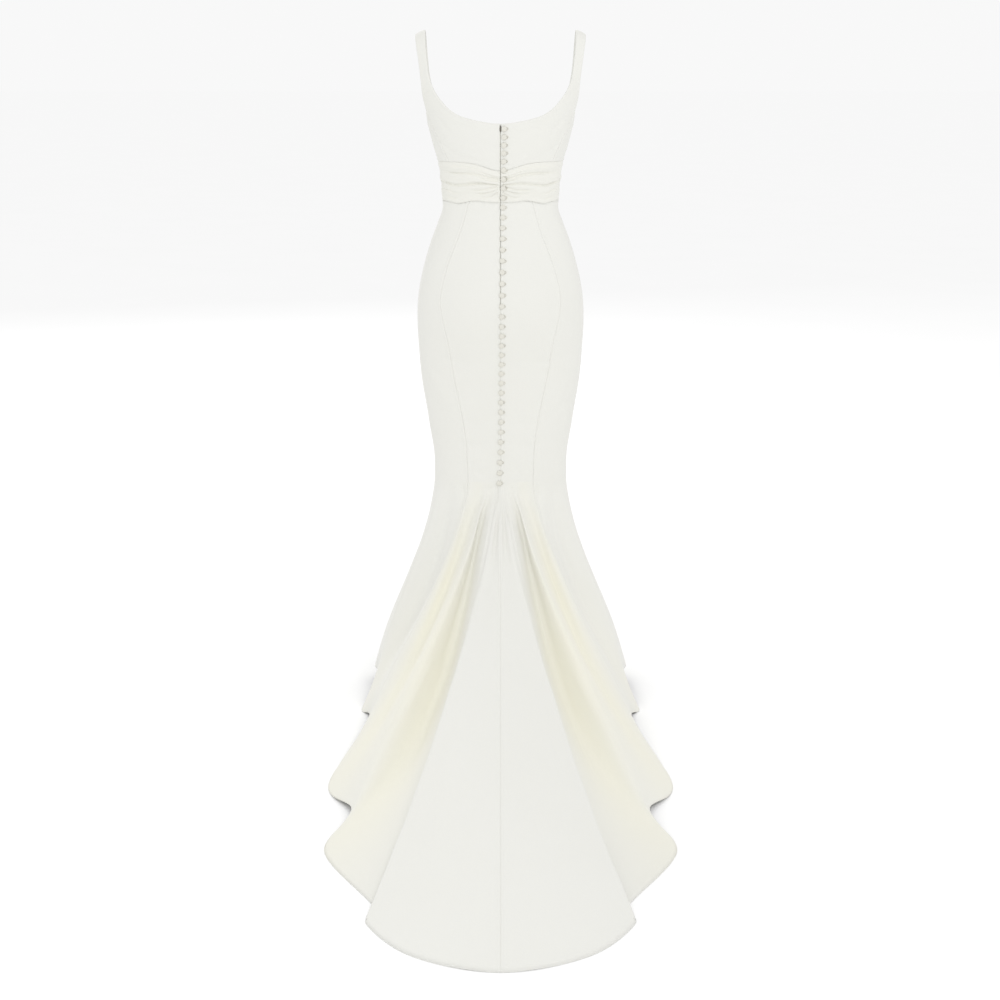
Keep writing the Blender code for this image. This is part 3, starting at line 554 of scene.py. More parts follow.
for name, start, sides, cut in (("back_midriff", 0.0, (1, -1), (0.165, 0.125, 0.0195)),
                                ("front_midriff", math.pi / 2, (1,), (0.330, 0.125, 0.0400))):
    first = straight_edge((start, 0), (start, 1), 84)
    second = straight_edge((start + math.pi / 2, 0), (start + math.pi / 2, 1), 84)
    share = shares_across(first, second, band, 80)[..., None]
    across, level = np.moveaxis(first[:, None] * (1 - share) + second[:, None] * share, -1, 0)
    flat, away = band(across, level), outward(band, across, level)
    on_fold = name == "front_midriff"
    turned = {"first": 0, "bottom": 0} if on_fold else {"first": 0, "last": 0, "bottom": 0}
    for side in sides:
        # Painted shade: the band's troughs are tinted warmer by 0.15 times their bell curves, and the whole band by
        # 0.12 more.
        relief, painted_shade = lay_creases(flat, band_by_degrees, BAND_CREASES, side, 0.15)
        relief = relief + edge_relief(flat, turned) + unlevel(flat, 0.035, 0.0004, 2 * side)
        points = flat + away * relief[..., None]
        if on_fold:
            points[:, -1, 0] = 0
        else:
            points = open_at_back(points, away)
        label = name if on_fold else name + ("_left" if side > 0 else "_right")
        put_cloth(label + "_cloth", points, away, [label], painted_shade + 0.12, fold=on_fold, side=side)

# The skirt: seven panels cut close to the knee, where each one flares. The flare hangs in folds that run
# out over the floor, and the pair of panels at the centre back carry the train. The hem is turned up.
KNEE = 0.500
BACK_SKIRT_PRINCESS = (
    (0.0700, 0.500), (0.0735, 0.580), (0.0810, 0.637), (0.0915, 0.690), (0.1020, 0.745),
    (0.1095, 0.797), (0.1220, 0.852), (0.1265, 0.886), (0.1215, 0.919), (0.1110, 0.958),
    (0.0820, 1.033), (0.0660, 1.089),
)
FRONT_SKIRT_PRINCESS = (
    (0.0720, 0.500), (0.0840, 0.650), (0.0980, 0.800), (0.1000, 0.880), (0.0850, 0.980), (0.0660, 1.089),
)
FOLDS = (
    # name, knee angle, bow x, bow y, bow z, lie x, lie y, lie z, hem x, hem y, hem z
    ("centre back seam", 0.0, 0.000, 0.300, 0.280, 0.000, 0.670, 0.077, 0.000, 1.327, 0.000),
    ("train middle", 1.1, 0.019, 0.300, 0.280, 0.070, 0.650, 0.076, 0.141, 1.273, 0.000),
    ("train corner", 2.2, 0.038, 0.300, 0.280, 0.128, 0.620, 0.075, 0.221, 1.160, 0.000),
    ("train edge", 3.8, 0.044, 0.280, 0.276, 0.126, 0.588, 0.060, 0.209, 1.105, 0.000),
    ("second tongue", 7.8, 0.075, 0.180, 0.313, 0.089, 0.492, 0.026, 0.3155, 0.876, 0.000),
    ("second ridge", 12.8, 0.059, 0.195, 0.310, 0.250, 0.584, 0.069, 0.279, 0.715, 0.014),
    ("first tongue", 19.3, 0.097, 0.138, 0.254, 0.224, 0.374, 0.056, 0.336, 0.558, 0.000),
    ("back princess", 29.4, 0.095, 0.134, 0.300, 0.232, 0.286, 0.165, 0.281, 0.220, 0.012),
    ("side tongue", 46.0, 0.098, 0.085, 0.290, 0.247, 0.095, 0.107, 0.302, 0.125, 0.000),
    ("side ridge", 64.0, 0.156, 0.044, 0.332, 0.258, 0.029, 0.193, 0.272, 0.020, 0.040),
    ("side seam", 90.0, 0.144, 0.000, 0.360, 0.249, -0.050, 0.184, 0.284, -0.080, 0.033),
    ("first front hollow", 104.0, 0.140, -0.030, 0.370, 0.195, -0.075, 0.180, 0.232, -0.108, 0.028),
    ("first front ridge", 118.0, 0.132, -0.060, 0.380, 0.215, -0.150, 0.190, 0.244, -0.195, 0.026),
    ("second front hollow", 134.0, 0.105, -0.070, 0.370, 0.142, -0.130, 0.180, 0.172, -0.188, 0.024),
    ("front princess", 149.7, 0.078, -0.095, 0.380, 0.128, -0.215, 0.190, 0.150, -0.275, 0.024),
    ("third front hollow", 165.0, 0.038, -0.092, 0.370, 0.055, -0.170, 0.180, 0.068, -0.236, 0.022),
    ("centre front", 180.0, 0.000, -0.105, 0.380, 0.000, -0.225, 0.190, 0.000, -0.290, 0.022),
)
FOLD_NAMES = [row[0] for row in FOLDS]
FOLD_VALUES = np.array([row[1:] for row in FOLDS])
MIRRORED = np.array([-1, -1, 1, 1, -1, 1, 1, -1, 1, 1])
past_back, past_front = FOLD_VALUES[3:0:-1] * MIRRORED, FOLD_VALUES[-2:-5:-1] * MIRRORED
past_front[:, 0] += 360
FOLD_CURVES = np.concatenate([past_back, FOLD_VALUES, past_front])
FOLD_NUMBERS = np.arange(-3, len(FOLDS) + 3, dtype=float)
CLEAR_OF_FLOOR, FLOOR_ROUNDING = 0.0018, 0.016
EASE, COLUMNS_EVEN, SEAM_JOINS_FOLD = 0.11, 0.72, 0.05
FLARE_ROWS, HIP_ROWS, CLOSER_AT_KNEE = 124, 92, 1.15

# Creases of the flare: path as fold number and fall, half width, depth, and strength at both ends.
FLARE_CREASES = (
    (((0.0, 0.02), (0.0, 0.08), (0.0, 0.18), (0.0, 0.34)), 0.0055, 0.0040, 0.8, 0.0),
    (((0.5, 0.02), (0.7, 0.08), (0.8, 0.17), (0.8, 0.34)), 0.0060, -0.0034, 0.7, 0.0),
    (((1.1, 0.02), (1.4, 0.09), (1.6, 0.20), (1.7, 0.38)), 0.0055, 0.0028, 0.7, 0.0),
    (((2.0, 0.02), (2.3, 0.09), (2.5, 0.20), (2.6, 0.36)), 0.0055, -0.0026, 0.7, 0.0),
    (((3.2, 0.03), (3.1, 0.10), (3.1, 0.20), (3.5, 0.32)), 0.0045, 0.0014, 0.8, 0.0),
    (((4.4, 0.03), (4.2, 0.12), (4.2, 0.24), (4.3, 0.42), (4.2, 0.60)), 0.0060, -0.0026, 0.8, 0.0),
    (((5.5, 0.03), (5.4, 0.13), (5.5, 0.26), (5.8, 0.42)), 0.0055, -0.0018, 0.6, 0.0),
    (((6.2, 0.04), (6.2, 0.18), (6.3, 0.33), (6.2, 0.50)), 0.0060, 0.0014, 0.3, 0.0),
    (((6.0, 0.33), (6.07, 0.46), (6.15, 0.60), (5.99, 0.69), (5.8, 0.84)), 0.0100, -0.0024, 0.0, 0.0),
    (((4.83, 0.52), (4.92, 0.62), (4.95, 0.70), (4.97, 0.78)), 0.0035, -0.0016, 0.0, 0.0),
    (((4.60, 0.48), (4.66, 0.58), (4.70, 0.70)), 0.0050, 0.0014, 0.0, 0.0),
    (((4.20, 0.50), (4.05, 0.62), (3.85, 0.72), (3.70, 0.82)), 0.0090, -0.0022, 0.0, 0.0),
    (((3.40, 0.30), (3.60, 0.42), (3.86, 0.50)), 0.0045, 0.0012, 0.0, 0.0),
    (((1.9, 0.30), (2.0, 0.50), (2.0, 0.68), (1.9, 0.86)), 0.0120, 0.0016, 0.0, 0.0),
    (((1.2, 0.46), (1.3, 0.64), (1.1, 0.80), (1.2, 0.94)), 0.0170, 0.0020, 0.0, 0.2),
    (((0.6, 0.50), (0.5, 0.68), (0.7, 0.84), (0.6, 0.97)), 0.0150, -0.0014, 0.0, 0.3),
    (((0.3, 0.72), (0.35, 0.86), (0.3, 0.99)), 0.0160, 0.0014, 0.0, 1.0),
    (((2.5, 0.76), (2.2, 0.88), (2.3, 0.99)), 0.0120, 0.0016, 0.0, 1.0),
    (((5.4, 0.56), (5.5, 0.72), (5.4, 0.90)), 0.0120, 0.0018, 0.0, 0.4),
    (((6.6, 0.50), (6.5, 0.68), (6.6, 0.88)), 0.0110, -0.0018, 0.0, 0.3),
    (((7.0, 0.02), (6.9, 0.10), (7.0, 0.28), (7.0, 0.42)), 0.0070, 0.0016, 0.8, 0.0),
    (((7.25, 0.03), (7.2, 0.14), (7.25, 0.28), (7.3, 0.42)), 0.0060, -0.0022, 0.8, 0.0),
    (((7.7, 0.04), (7.8, 0.16), (7.9, 0.34), (7.9, 0.56)), 0.0080, 0.0018, 0.5, 0.0),
    (((8.3, 0.03), (8.3, 0.20), (8.2, 0.44), (8.2, 0.70)), 0.0090, -0.0020, 0.4, 0.0),
    (((8.9, 0.06), (9.0, 0.30), (8.9, 0.60), (8.9, 0.90)), 0.0100, 0.0018, 0.2, 0.4),
    (((9.4, 0.10), (9.5, 0.34), (9.4, 0.62)), 0.0080, -0.0016, 0.2, 0.0),
    (((10.4, 0.04), (10.5, 0.22), (10.5, 0.44)), 0.0080, -0.0018, 0.6, 0.0),
    (((11.2, 0.05), (11.1, 0.26), (11.2, 0.60), (11.1, 0.92)), 0.0100, -0.0018, 0.4, 0.4),
    (((11.7, 0.04), (11.8, 0.22), (11.8, 0.48)), 0.0070, 0.0016, 0.6, 0.0),
    (((12.5, 0.04), (12.4, 0.24), (12.5, 0.52)), 0.0080, -0.0016, 0.6, 0.0),
    (((13.0, 0.10), (13.1, 0.36), (13.0, 0.70), (13.1, 0.96)), 0.0110, -0.0020, 0.2, 0.6),
    (((13.6, 0.03), (13.7, 0.18), (13.7, 0.40)), 0.0070, 0.0016, 0.6, 0.0),
    (((14.4, 0.04), (14.5, 0.20), (14.5, 0.42)), 0.0070, -0.0018, 0.6, 0.0),
    (((15.0, 0.12), (15.0, 0.40), (15.1, 0.72), (15.0, 0.95)), 0.0110, -0.0018, 0.2, 0.6),
    (((15.5, 0.04), (15.6, 0.20), (15.6, 0.46)), 0.0080, 0.0014, 0.6, 0.0),
)
# Creases of the hips and thighs, as those of the bodice.
HIP_CREASES = (
    (((3, 1.074), (12, 1.066), (26, 1.064), (38, 1.068)), 0.0045, -0.0006, 0.8, 0.0),
    (((3, 1.050), (14, 1.046), (30, 1.050)), 0.0050, -0.0005, 0.5, 0.0),
    (((86, 1.060), (74, 1.050), (62, 1.048)), 0.0055, -0.0008, 0.6, 0.0),
    (((84, 0.985), (66, 0.968), (50, 0.964)), 0.0080, 0.0007, 0.2, 0.0),
    (((6, 0.768), (22, 0.758), (40, 0.764), (56, 0.778)), 0.0090, -0.0010, 0.2, 0.0),
    (((12, 0.728), (28, 0.720), (44, 0.728)), 0.0080, 0.0007, 0.0, 0.0),
    (((82, 0.800), (64, 0.740), (48, 0.690), (36, 0.650)), 0.0100, 0.0010, 0.2, 0.0),
    (((80, 0.720), (62, 0.668), (46, 0.628)), 0.0090, -0.0010, 0.2, 0.0),
    (((5, 0.640), (18, 0.628), (34, 0.632)), 0.0080, -0.0009, 0.4, 0.0),
    (((4, 0.588), (16, 0.576), (32, 0.580), (50, 0.594)), 0.0080, -0.0011, 0.4, 0.0),
    (((8, 0.556), (22, 0.548), (40, 0.556)), 0.0070, 0.0008, 0.1, 0.0),
    (((6, 0.528), (16, 0.520), (27, 0.522)), 0.0060, -0.0010, 0.4, 0.0),
    (((100, 1.066), (116, 1.058), (134, 1.062)), 0.0050, -0.0007, 0.5, 0.0),
    (((108, 1.020), (128, 1.004), (150, 1.004), (172, 1.012)), 0.0080, -0.0008, 0.2, 0.2),
    (((98, 0.930), (114, 0.908), (132, 0.900)), 0.0090, 0.0008, 0.4, 0.0),
    (((100, 0.860), (120, 0.824), (142, 0.806), (166, 0.800)), 0.0090, -0.0010, 0.4, 0.0),
    (((104, 0.770), (124, 0.730), (146, 0.706)), 0.0090, 0.0009, 0.2, 0.0),
    (((110, 0.672), (132, 0.648), (156, 0.644), (178, 0.650)), 0.0090, -0.0010, 0.2, 0.4),
    (((112, 0.600), (136, 0.584), (160, 0.586)), 0.0080, -0.0009, 0.2, 0.0),
    (((96, 0.560), (112, 0.540), (128, 0.534)), 0.0070, 0.0009, 0.4, 0.0),
)
# Light goes to and fro in these folds, so that they look warmer: fold number, half width, fall, half
# length, and how much.
FOLDS_WITH_PAINTED_SHADE = (
    (4.1, 0.7, 0.70, 0.45, 0.80), (6.0, 0.8, 0.65, 0.50, 0.85), (4.9, 0.7, 0.45, 0.25, 0.50),
    (6.3, 0.8, 0.30, 0.20, 0.35), (8.0, 0.8, 0.80, 0.40, 0.35), (11.0, 0.5, 0.70, 0.40, 0.35),
    (13.0, 0.5, 0.70, 0.40, 0.35), (15.0, 0.5, 0.70, 0.40, 0.35),
)


def flare(fold, fall):
    """A point of the flare: each fold line is a cubic Bezier curve from the knee by its bow and its lie to
    the hem, eased so that it leaves the knee straight down, and it comes to rest on the floor."""
    curve = smooth(FOLD_NUMBERS, FOLD_CURVES, fold)
    fall = np.asarray(fall, float)[..., None]
    knee = figure(np.radians(curve[..., 0]), np.full(np.shape(fold), KNEE)) - (0, 0, FLOOR)
    rest = 1 - fall
    point = rest**3 * knee + 3 * rest**2 * fall * curve[..., 1:4] + 3 * rest * fall**2 * curve[..., 4:7]
    point = point + fall**3 * curve[..., 7:10]
    point[..., :2] = knee[..., :2] + (point[..., :2] - knee[..., :2]) * smooth_step(fall / EASE)
    above = point[..., 2:] - CLEAR_OF_FLOOR
    height = CLEAR_OF_FLOOR + (above + np.sqrt(above**2 + (FLOOR_ROUNDING * fall * rest) ** 2)) / 2
    point[..., 2:] = height + FLOOR
    return point


def knee_angle(fold):
    return np.radians(smooth(FOLD_NUMBERS, FOLD_CURVES[:, 0], fold))


def skirt_seam(name, rises):
    """A lengthwise seam's angles on the hips."""
    level = {"centre back seam": 0.0, "side seam": math.pi / 2, "centre front": math.pi}
    if name in level:
        return np.full(len(rises), level[name])
    facing = "back" if name == "back princess" else "front"
    x, height = np.array(BACK_SKIRT_PRINCESS if facing == "back" else FRONT_SKIRT_PRINCESS).T
    return angle_at(smooth(height, x, rises), rises, facing)


def skirt_panel(first_name, last_name, columns):
    """A panel from the hem up to the waist seam. Its columns follow the folds below the knee, spread evenly
    on the hips, and keep their steps in metres beside the seams."""
    first, last = FOLD_NAMES.index(first_name), FOLD_NAMES.index(last_name)
    falls = np.linspace(1, 0, FLARE_ROWS + 1)[:-1] ** CLOSER_AT_KNEE
    ends = [np.stack([np.full(FLARE_ROWS, float(number)), falls], -1) for number in (first, last)]
    fold_share = shares_across(*ends, flare, columns)
    fold = first + (last - first) * fold_share
    fall = falls[:, None] + 0 * fold
    rises = np.linspace(KNEE, WAIST, HIP_ROWS + 1)
    pull = 1 - smooth_step((rises - KNEE) / SEAM_JOINS_FOLD)
    ends = []
    for name, number in ((first_name, first), (last_name, last)):
        seam = skirt_seam(name, rises) * (1 - pull) + float(knee_angle(number)) * pull
        ends.append(np.stack([seam, rises], -1))
    even = shares_across(*ends, figure, columns)
    knee_fold = first + (last - first) * even
    knee_share = (knee_angle(knee_fold) - knee_angle(first)) / (knee_angle(last) - knee_angle(first))
    spread = smooth_step((rises - KNEE) / (COLUMNS_EVEN - KNEE))[:, None]
    share = (knee_share * (1 - spread) + even * spread)[..., None]
    angle, rise = np.moveaxis(ends[0][:, None] * (1 - share) + ends[1][:, None] * share, -1, 0)
    rise = rise + (waist_line(angle) - WAIST) * smooth_step((rise - WAIST) / 0.06 + 1)
    points = np.concatenate([flare(fold, fall), figure(angle, rise)])
    away = np.concatenate([outward(flare, fold, fall, -1), outward(figure, angle, rise)])
    # Painted shade: a warmer tint along the folds in the table above, for the light that bounces between them.
    painted_shade = np.zeros(points.shape[:2])
    for at, width, down, length, amount in FOLDS_WITH_PAINTED_SHADE:
        painted_shade[:FLARE_ROWS] += amount * np.exp(-(((fold - at) / width) ** 2) - ((fall - down) / length) ** 2)
    return points, away, painted_shade


def skirt_relief(flat, turned, side):
    """All that stands out of a skirt panel's plain form, and the painted shade of its creases, which is nil since they
    are laid without a warm tint.
    """
    relief, painted_shade = lay_creases(flat, flare, FLARE_CREASES, side)
    on_hips, _ = lay_creases(flat, figure_by_degrees, HIP_CREASES, side)
    return relief + on_hips + edge_relief(flat, turned) + unlevel(flat, 0.130, 0.0009, 3 * side), painted_shade


for name, first_name, last_name, columns, cut in (
        ("centre_back_skirt", "centre back seam", "back princess", 112, (1.050, 1.980, 0.630)),
        ("side_back_skirt", "back princess", "side seam", 58, (0.360, 1.200, 0.205)),
        ("side_front_skirt", "side seam", "front princess", 62, (0.350, 1.150, 0.198)),
        ("centre_front_skirt", "front princess", "centre front", 46, (0.390, 1.150, 0.255))):
    flat, away, folds_painted_shade = skirt_panel(first_name, last_name, columns)
    on_fold = last_name == "centre front"
    turned = {"first": 0, "top": 0, "bottom": 1} if on_fold else {"first": 0, "last": 0, "top": 0, "bottom": 1}
    for side, word in ((1, "_left"), (-1, "_right"))[:1 if on_fold else 2]:
        relief, painted_shade = skirt_relief(flat, turned, side)
        if first_name == "centre back seam":
            across_seam = (relief + skirt_relief(flat, turned, -side)[0])[:, :1] / 2 - relief[:, :1]
            relief = relief + across_seam * np.exp(-((from_edge(flat, "first")[0] / 0.03) ** 2))
        points = flat + away * relief[..., None]
        points[..., 2] = np.maximum(points[..., 2], FLOOR + CLEAR_OF_FLOOR)
        if first_name == "centre back seam":
            points = open_at_back(points, away)
        if on_fold:
            points[:, -1, 0] = 0
        label = name if on_fold else name + word
        put_cloth(label + "_cloth", points, away, [label], painted_shade + folds_painted_shade, fold=on_fold, side=side)

# The zip: a concealed one, whose tape and coil lie inside the opening, with a small metal pull at the neck.
# A row of stitches in a V below it holds its lower end to the skirt.
ZIP_TOP, ZIP_WIDTH, ZIP_INSIDE = 1.2488, 0.022, 0.0024
COIL_HALF_WIDTH, COIL_HEIGHT, COIL_PITCH = 0.0026, 0.0006, 0.0018
TAPE_IVORY, TAPE_PALE = (0.760, 0.745, 0.680), (0.800, 0.785, 0.725)
# Painted shade: through the hollow attribute the coil is mixed towards a dark warm grey, to deepen the shade in the
# opening's gap.
zip_tape = woven("zip tape", TAPE_IVORY, TAPE_PALE, (0.50, 0.48, 0.42), 0.8)
steps = np.concatenate([np.linspace(0, COIL_HALF_WIDTH, 5), np.linspace(COIL_HALF_WIDTH, ZIP_WIDTH / 2, 4)[1:]])
across = np.concatenate([-steps[:0:-1], steps])
across, rises = np.meshgrid(across, np.arange(OPENING_END, ZIP_TOP, COIL_PITCH / 3))
angle = np.sign(across) * angle_at(np.abs(across), rises, "back")
away = outward(figure, angle, rises)
coil = np.clip(1 - (np.abs(across) / COIL_HALF_WIDTH) ** 2, 0, 1)
teeth = COIL_HEIGHT * coil * (0.5 + 0.5 * np.cos(2 * np.pi * rises / COIL_PITCH + np.pi * (across > 0)))
points = figure(angle, rises) - away * (ZIP_INSIDE - teeth)[..., None]
put_cloth("zip_tape_and_coil", points, away, ["concealed_zip"], coil,
          finish=zip_tape, wall=0.0008)

# Metal that has dulled: it is darker and rougher where a fine noise is low.
PULL_METAL, PULL_WORN = (0.110, 0.100, 0.085), (0.240, 0.225, 0.195)
dull_metal, shader, paint = new_finish("dull metal")
place = paint.node("ShaderNodeTexCoord", "Object", {})
worn = paint.noise(place, 420.0, 3.0)
dull_metal.node_tree.links.new(paint.blend(worn, (*PULL_METAL, 1), (*PULL_WORN, 1)).socket,
                               shader.inputs["Base Color"])
dull_metal.node_tree.links.new((0.30 + worn * 0.25).socket, shader.inputs["Roughness"])
shader.inputs["Metallic"].default_value = 0.9


def put_small(name, points, finish, nodes=()):
    """Many small closed bodies in one piece. Each body is a grid of rings from its lower to its upper pole,
    where the first and last ring have shrunk to a point."""
    bodies, rings, around = points.shape[:3]
    number = np.arange(bodies * rings * around).reshape(bodies, rings, around)
    beside = np.roll(number, -1, axis=2)
    quads = np.stack([number[:, 1:-2], beside[:, 1:-2], beside[:, 2:-1], number[:, 2:-1]], -1).reshape(-1, 4)
    low = np.stack([0 * number[:, 0] + number[:, 0, :1], beside[:, 1], number[:, 1]], -1).reshape(-1, 3)
    high = np.stack([0 * number[:, 0] + number[:, -1, :1], number[:, -2], beside[:, -2]], -1).reshape(-1, 3)
    used, flat = np.unique(np.concatenate([quads.ravel(), low.ravel(), high.ravel()]), return_inverse=True)
    cut, end = quads.size, quads.size + low.size
    faces = [*flat[:cut].reshape(-1, 4).tolist(), *flat[cut:end].reshape(-1, 3).tolist(),
             *flat[end:].reshape(-1, 3).tolist()]
    mesh = bpy.data.meshes.new(name)
    mesh.from_pydata(points.reshape(-1, 3)[used], [], faces)
    mesh.shade_smooth()
    mesh.materials.append(finish)
    piece = bpy.data.objects.new(name, mesh)
    bpy.context.scene.collection.objects.link(piece)
    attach(piece, "root")
    if nodes:
        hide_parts(*nodes)
    return piece


# The depth of the cloth down the centre back, from the flare up to the neckline, as heights and depths.
middle = np.zeros(120)
profile = np.concatenate([
    flare(middle[:40], np.linspace(0.2, 0.005, 40)), figure(middle, np.linspace(KNEE, WAIST, 120)),
    band(middle[:60], np.linspace(0.01, 0.99, 60)), figure(middle[:40], np.linspace(1.156, 1.250, 40))])
profile_heights, profile_depths = profile[:, 2] - FLOOR, profile[:, 1]


def on_back(x, height, lift):
    """A point on the cloth beside the centre back, this far out of it: its depth is the middle's, drawn in
    by the section's own formula."""
    half_width = smooth(BODY[:, 0], BODY[:, 1], height)
    depth = np.interp(height, profile_heights, profile_depths) * (1 - (x / half_width) ** 2) ** (ROUNDNESS / 2)
    above = np.interp(height + 0.004, profile_heights, profile_depths)
    slope = (above - np.interp(height - 0.004, profile_heights, profile_depths)) / 0.008
    tilt = 1 / np.sqrt(1 + slope**2)
    return np.stack([x, depth + lift * tilt, height + FLOOR - lift * slope * tilt], axis=-1)


PULL_TOP, PULL_LENGTH, PULL_WIDTH, PULL_THICKNESS = 1.2470, 0.0135, 0.0038, 0.0011
climb, turn = np.meshgrid(np.linspace(-math.pi / 2, math.pi / 2, 13), np.linspace(0, 2 * math.pi, 17)[:-1],
                          indexing="ij")
across = PULL_WIDTH / 2 * np.cos(climb) * np.cos(turn) * (1 - 0.38 * np.sin(climb))
height = PULL_TOP - PULL_LENGTH / 2 + PULL_LENGTH / 2 * np.sin(climb)
lift = 0.0003 + PULL_THICKNESS / 2 * (1 + np.cos(climb) * np.sin(turn))
put_small("zip_pull", on_back(across, height, lift)[None, :, ::-1], dull_metal)

V_TOP, V_TIP, V_HALF_WIDTH = 0.8850, 0.8705, 0.0058
STITCHES_A_SIDE, STITCH_FILL, THREAD_RADIUS = 5, 0.72, 0.00032
# Painted shade: the ivory thread is darker than the crepe, for the shade beside the stitches and the loops.
THREAD_SHADED_IVORY, THREAD_SHADED_PALE = (0.600, 0.575, 0.500), (0.680, 0.655, 0.580)
thread = woven("ivory thread with painted shade", THREAD_SHADED_IVORY, THREAD_SHADED_PALE, CREPE_PAINTED_FOLD_SHADE, 0.6)
climb, turn = np.meshgrid(np.linspace(-math.pi / 2, math.pi / 2, 7), np.linspace(0, 2 * math.pi, 7)[:-1],
                          indexing="ij")
stitches = []
for side in (1, -1):
    start = np.array((side * V_HALF_WIDTH, V_TOP))
    way = (np.array((side * 0.0008, V_TIP)) - start) / STITCHES_A_SIDE
    for number in range(STITCHES_A_SIDE):
        along = number + STITCH_FILL * (0.5 + 0.5 * np.sin(climb)) + 0.14
        aside = THREAD_RADIUS * np.cos(climb) * np.cos(turn) / np.linalg.norm(way)
        x, height = (start[i] + way[i] * along + side * (-way[1], way[0])[i] * aside for i in (0, 1))
        stitches.append(on_back(x, height, 0.0001 + THREAD_RADIUS * np.cos(climb) * np.sin(turn)))
stitches[STITCHES_A_SIDE:] = [stitch[:, ::-1] for stitch in stitches[STITCHES_A_SIDE:]]
put_small("zip_end_stitches", np.array(stitches), thread)

# The buttons: 37 domed moulds covered in the crepe, drawn together behind and sewn on beside the opening.
# The lowest ones are sewn over the closed seam, down to the knee.
BUTTON_COUNT, BUTTON_RADIUS, BUTTON_THICKNESS, BUTTON_RIM, BUTTON_LIFT = 37, 0.0057, 0.0050, 0.0019, 0.0003
BUTTON_PLACES = np.array((
    # number, height, distance from the centre back towards the wearer's left
    (1, 1.2395, -0.0072), (6, 1.1560, -0.0060), (11, 1.0580, -0.0045), (15, 0.9710, -0.0035),
    (19, 0.8800, -0.0025), (24, 0.7770, -0.0018), (28, 0.6950, -0.0010), (33, 0.5870, 0.0000),
    (37, 0.4970, 0.0030),
))
# Painted shade: the cover is darker than the crepe it is cut from, for the shade at the buttons' rims.
COVER_SHADED_IVORY, COVER_SHADED_PALE, COVER_PAINTED_FOLD_SHADE = (0.690, 0.676, 0.610), (0.735, 0.724, 0.664), (0.560, 0.520, 0.430)
button_cover = woven("button cover with painted shade", COVER_SHADED_IVORY, COVER_SHADED_PALE, COVER_PAINTED_FOLD_SHADE, 0.55)
heights, sideways = smooth(BUTTON_PLACES[:, 0], BUTTON_PLACES[:, 1:], np.arange(1, BUTTON_COUNT + 1)).T
under = np.linspace(-BUTTON_RADIUS, BUTTON_RADIUS, 13)
rounding = BUTTON_THICKNESS / 2 * (1 - np.sqrt(1 - (under / BUTTON_RADIUS) ** 2))
depths = np.interp(heights[:, None] + under, profile_heights, profile_depths)
slopes = (depths[:, -1] - depths[:, 0]) / (under[-1] - under[0])
seats = np.max(depths - slopes[:, None] * under - rounding, axis=1)
outs = np.stack([0 * slopes, np.ones(BUTTON_COUNT), -slopes], -1) / np.sqrt(1 + slopes**2)[:, None]
ups = np.stack([0 * slopes, slopes, np.ones(BUTTON_COUNT)], -1) / np.sqrt(1 + slopes**2)[:, None]
places = np.stack([sideways, seats, heights + FLOOR], -1) + outs * BUTTON_LIFT
climb, turn = np.meshgrid(np.linspace(-math.pi / 2, math.pi / 2, 15), np.linspace(0, 2 * math.pi, 25)[:-1],
                          indexing="ij")
radius = BUTTON_RADIUS * np.abs(np.cos(climb)) ** 0.8
radius = radius * (1 + 0.02 * np.cos(12 * turn) * smooth_step(-np.sin(climb) * 2))
lift = np.where(climb < 0, BUTTON_RIM * (1 + np.sin(climb)),
                BUTTON_RIM + (BUTTON_THICKNESS - BUTTON_RIM) * np.sin(climb))
lift = lift - 0.00018 * np.exp(-(((radius - 0.88 * BUTTON_RADIUS) / 0.0004) ** 2)) * (climb > 0)
lean = 0.10 * np.sin(np.arange(BUTTON_COUNT) * 2.1)[:, None, None]
buttons = places[:, None, None] + (radius * np.cos(turn))[None, ..., None] * np.array((-1.0, 0, 0))
buttons = buttons + (radius * np.sin(turn))[None, ..., None] * ups[:, None, None]
buttons = buttons + (lift + lean * radius * np.sin(turn) * lift / BUTTON_THICKNESS)[..., None] * outs[:, None, None]
put_small("covered_buttons", buttons, button_cover,
          [f"button_{number:02d}" for number in range(1, BUTTON_COUNT + 1)])

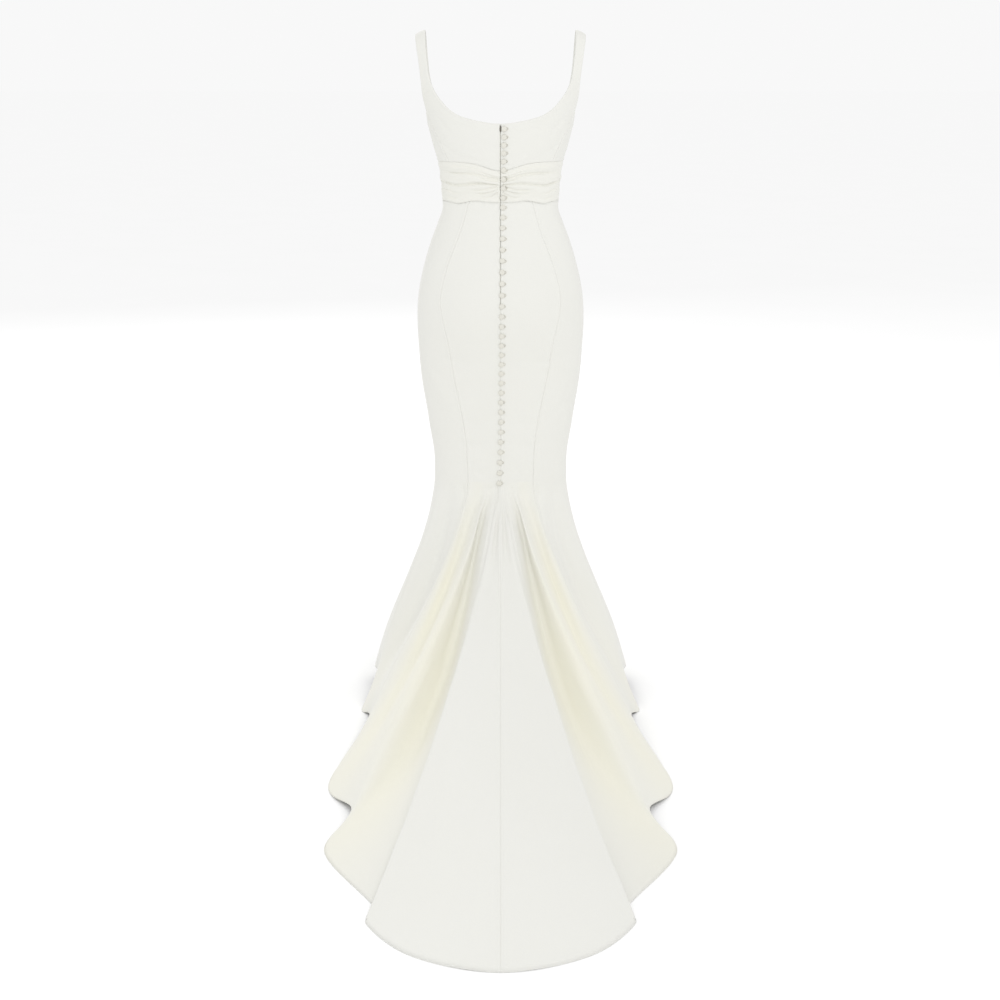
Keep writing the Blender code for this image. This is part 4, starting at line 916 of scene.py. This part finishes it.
# The loops: fine elastic cords from the left edge of the opening, that reach round the buttons' shanks and
# show as a small tail on their other side.
LOOP_PATH = np.array((
    # across from the button's middle towards the wearer's right, and up
    (0.0000, 0.0026), (0.0034, 0.0030), (0.0062, 0.0024), (0.0079, 0.0012), (0.0085, 0.0000),
    (0.0079, -0.0012), (0.0062, -0.0025), (0.0034, -0.0031), (0.0000, -0.0027),
))
LOOP_ROOT, LOOP_CORD = 0.0006, 0.00050
along, turn = np.meshgrid(np.linspace(0, 1, 27), np.linspace(0, 2 * math.pi, 7)[:-1], indexing="ij")
loops = []
for number in range(BUTTON_COUNT):
    root = max(LOOP_ROOT, sideways[number] + 0.002) - sideways[number]
    path = np.concatenate([[(-root, 0.0019)], LOOP_PATH * (1 + 0.05 * math.sin(2.7 * number)), [(-root, -0.0019)]])
    spot = smooth(np.arange(len(path)), path, along[:, 0] * (len(path) - 1))
    way = np.gradient(spot, axis=0)
    way /= np.linalg.norm(way, axis=1, keepdims=True)
    thick = LOOP_CORD * np.clip(np.minimum(along, 1 - along) * 40, 0, 1)
    aside = thick * np.cos(turn)
    x = sideways[number] - spot[:, :1] + way[:, 1:] * aside
    height = heights[number] + spot[:, 1:] + way[:, :1] * aside
    sunk = 0.0012 * (np.exp(-along / 0.05) + np.exp(-(1 - along) / 0.05))
    loops.append(on_back(x, height, LOOP_CORD + thick * np.sin(turn) - sunk + 0.0001))
put_small("button_loops", np.array(loops), thread)

# The room: a pale floor that runs on into a pale distance, and soft light from all sides.
floor = bpy.data.objects.new("floor", bpy.data.meshes.new("floor"))
floor.data.from_pydata([(-60, -60, FLOOR), (60, -60, FLOOR), (60, 60, FLOOR), (-60, 60, FLOOR)], [], [(0, 1, 2, 3)])
bpy.context.scene.collection.objects.link(floor)
floor_paint, shader, paint = new_finish("pale floor")
mottled = paint.noise(paint.node("ShaderNodeTexCoord", "Object", {}), 3.0)
floor_paint.node_tree.links.new(paint.blend(mottled, (0.985, 0.985, 0.985, 1), (1.0, 1.0, 1.0, 1)).socket,
                                shader.inputs["Base Color"])
shader.inputs["Roughness"].default_value = 0.9
shader.inputs["Specular IOR Level"].default_value = 0.0
floor.data.materials.append(floor_paint)

world = bpy.data.worlds.new("studio")
world.use_nodes = True
world.node_tree.nodes["Background"].inputs["Color"].default_value = (1.0, 1.0, 1.0, 1)
world.node_tree.nodes["Background"].inputs["Strength"].default_value = 0.94
bpy.context.scene.world = world
bpy.context.scene.view_settings.view_transform = "Standard"
for name, place, size, power in (
        ("behind_left", (-1.5, 4.6, 2.4), 1.6, 40.0),
        ("behind_right", (2.0, 4.8, 0.9), 2.0, 10.0),
        ("in_front", (1.2, -4.6, 2.2), 2.0, 44.0)):
    lamp = bpy.data.lights.new(name, "AREA")
    lamp.shape, lamp.size, lamp.energy = "DISK", size, power
    light = bpy.data.objects.new(name, lamp)
    light.location = place
    aim = np.array((0.0, 0.2, -0.6)) - np.array(place)
    light.rotation_euler = (math.pi - math.acos(aim[2] / np.linalg.norm(aim)), 0, math.atan2(-aim[0], aim[1]))
    bpy.context.scene.collection.objects.link(light)
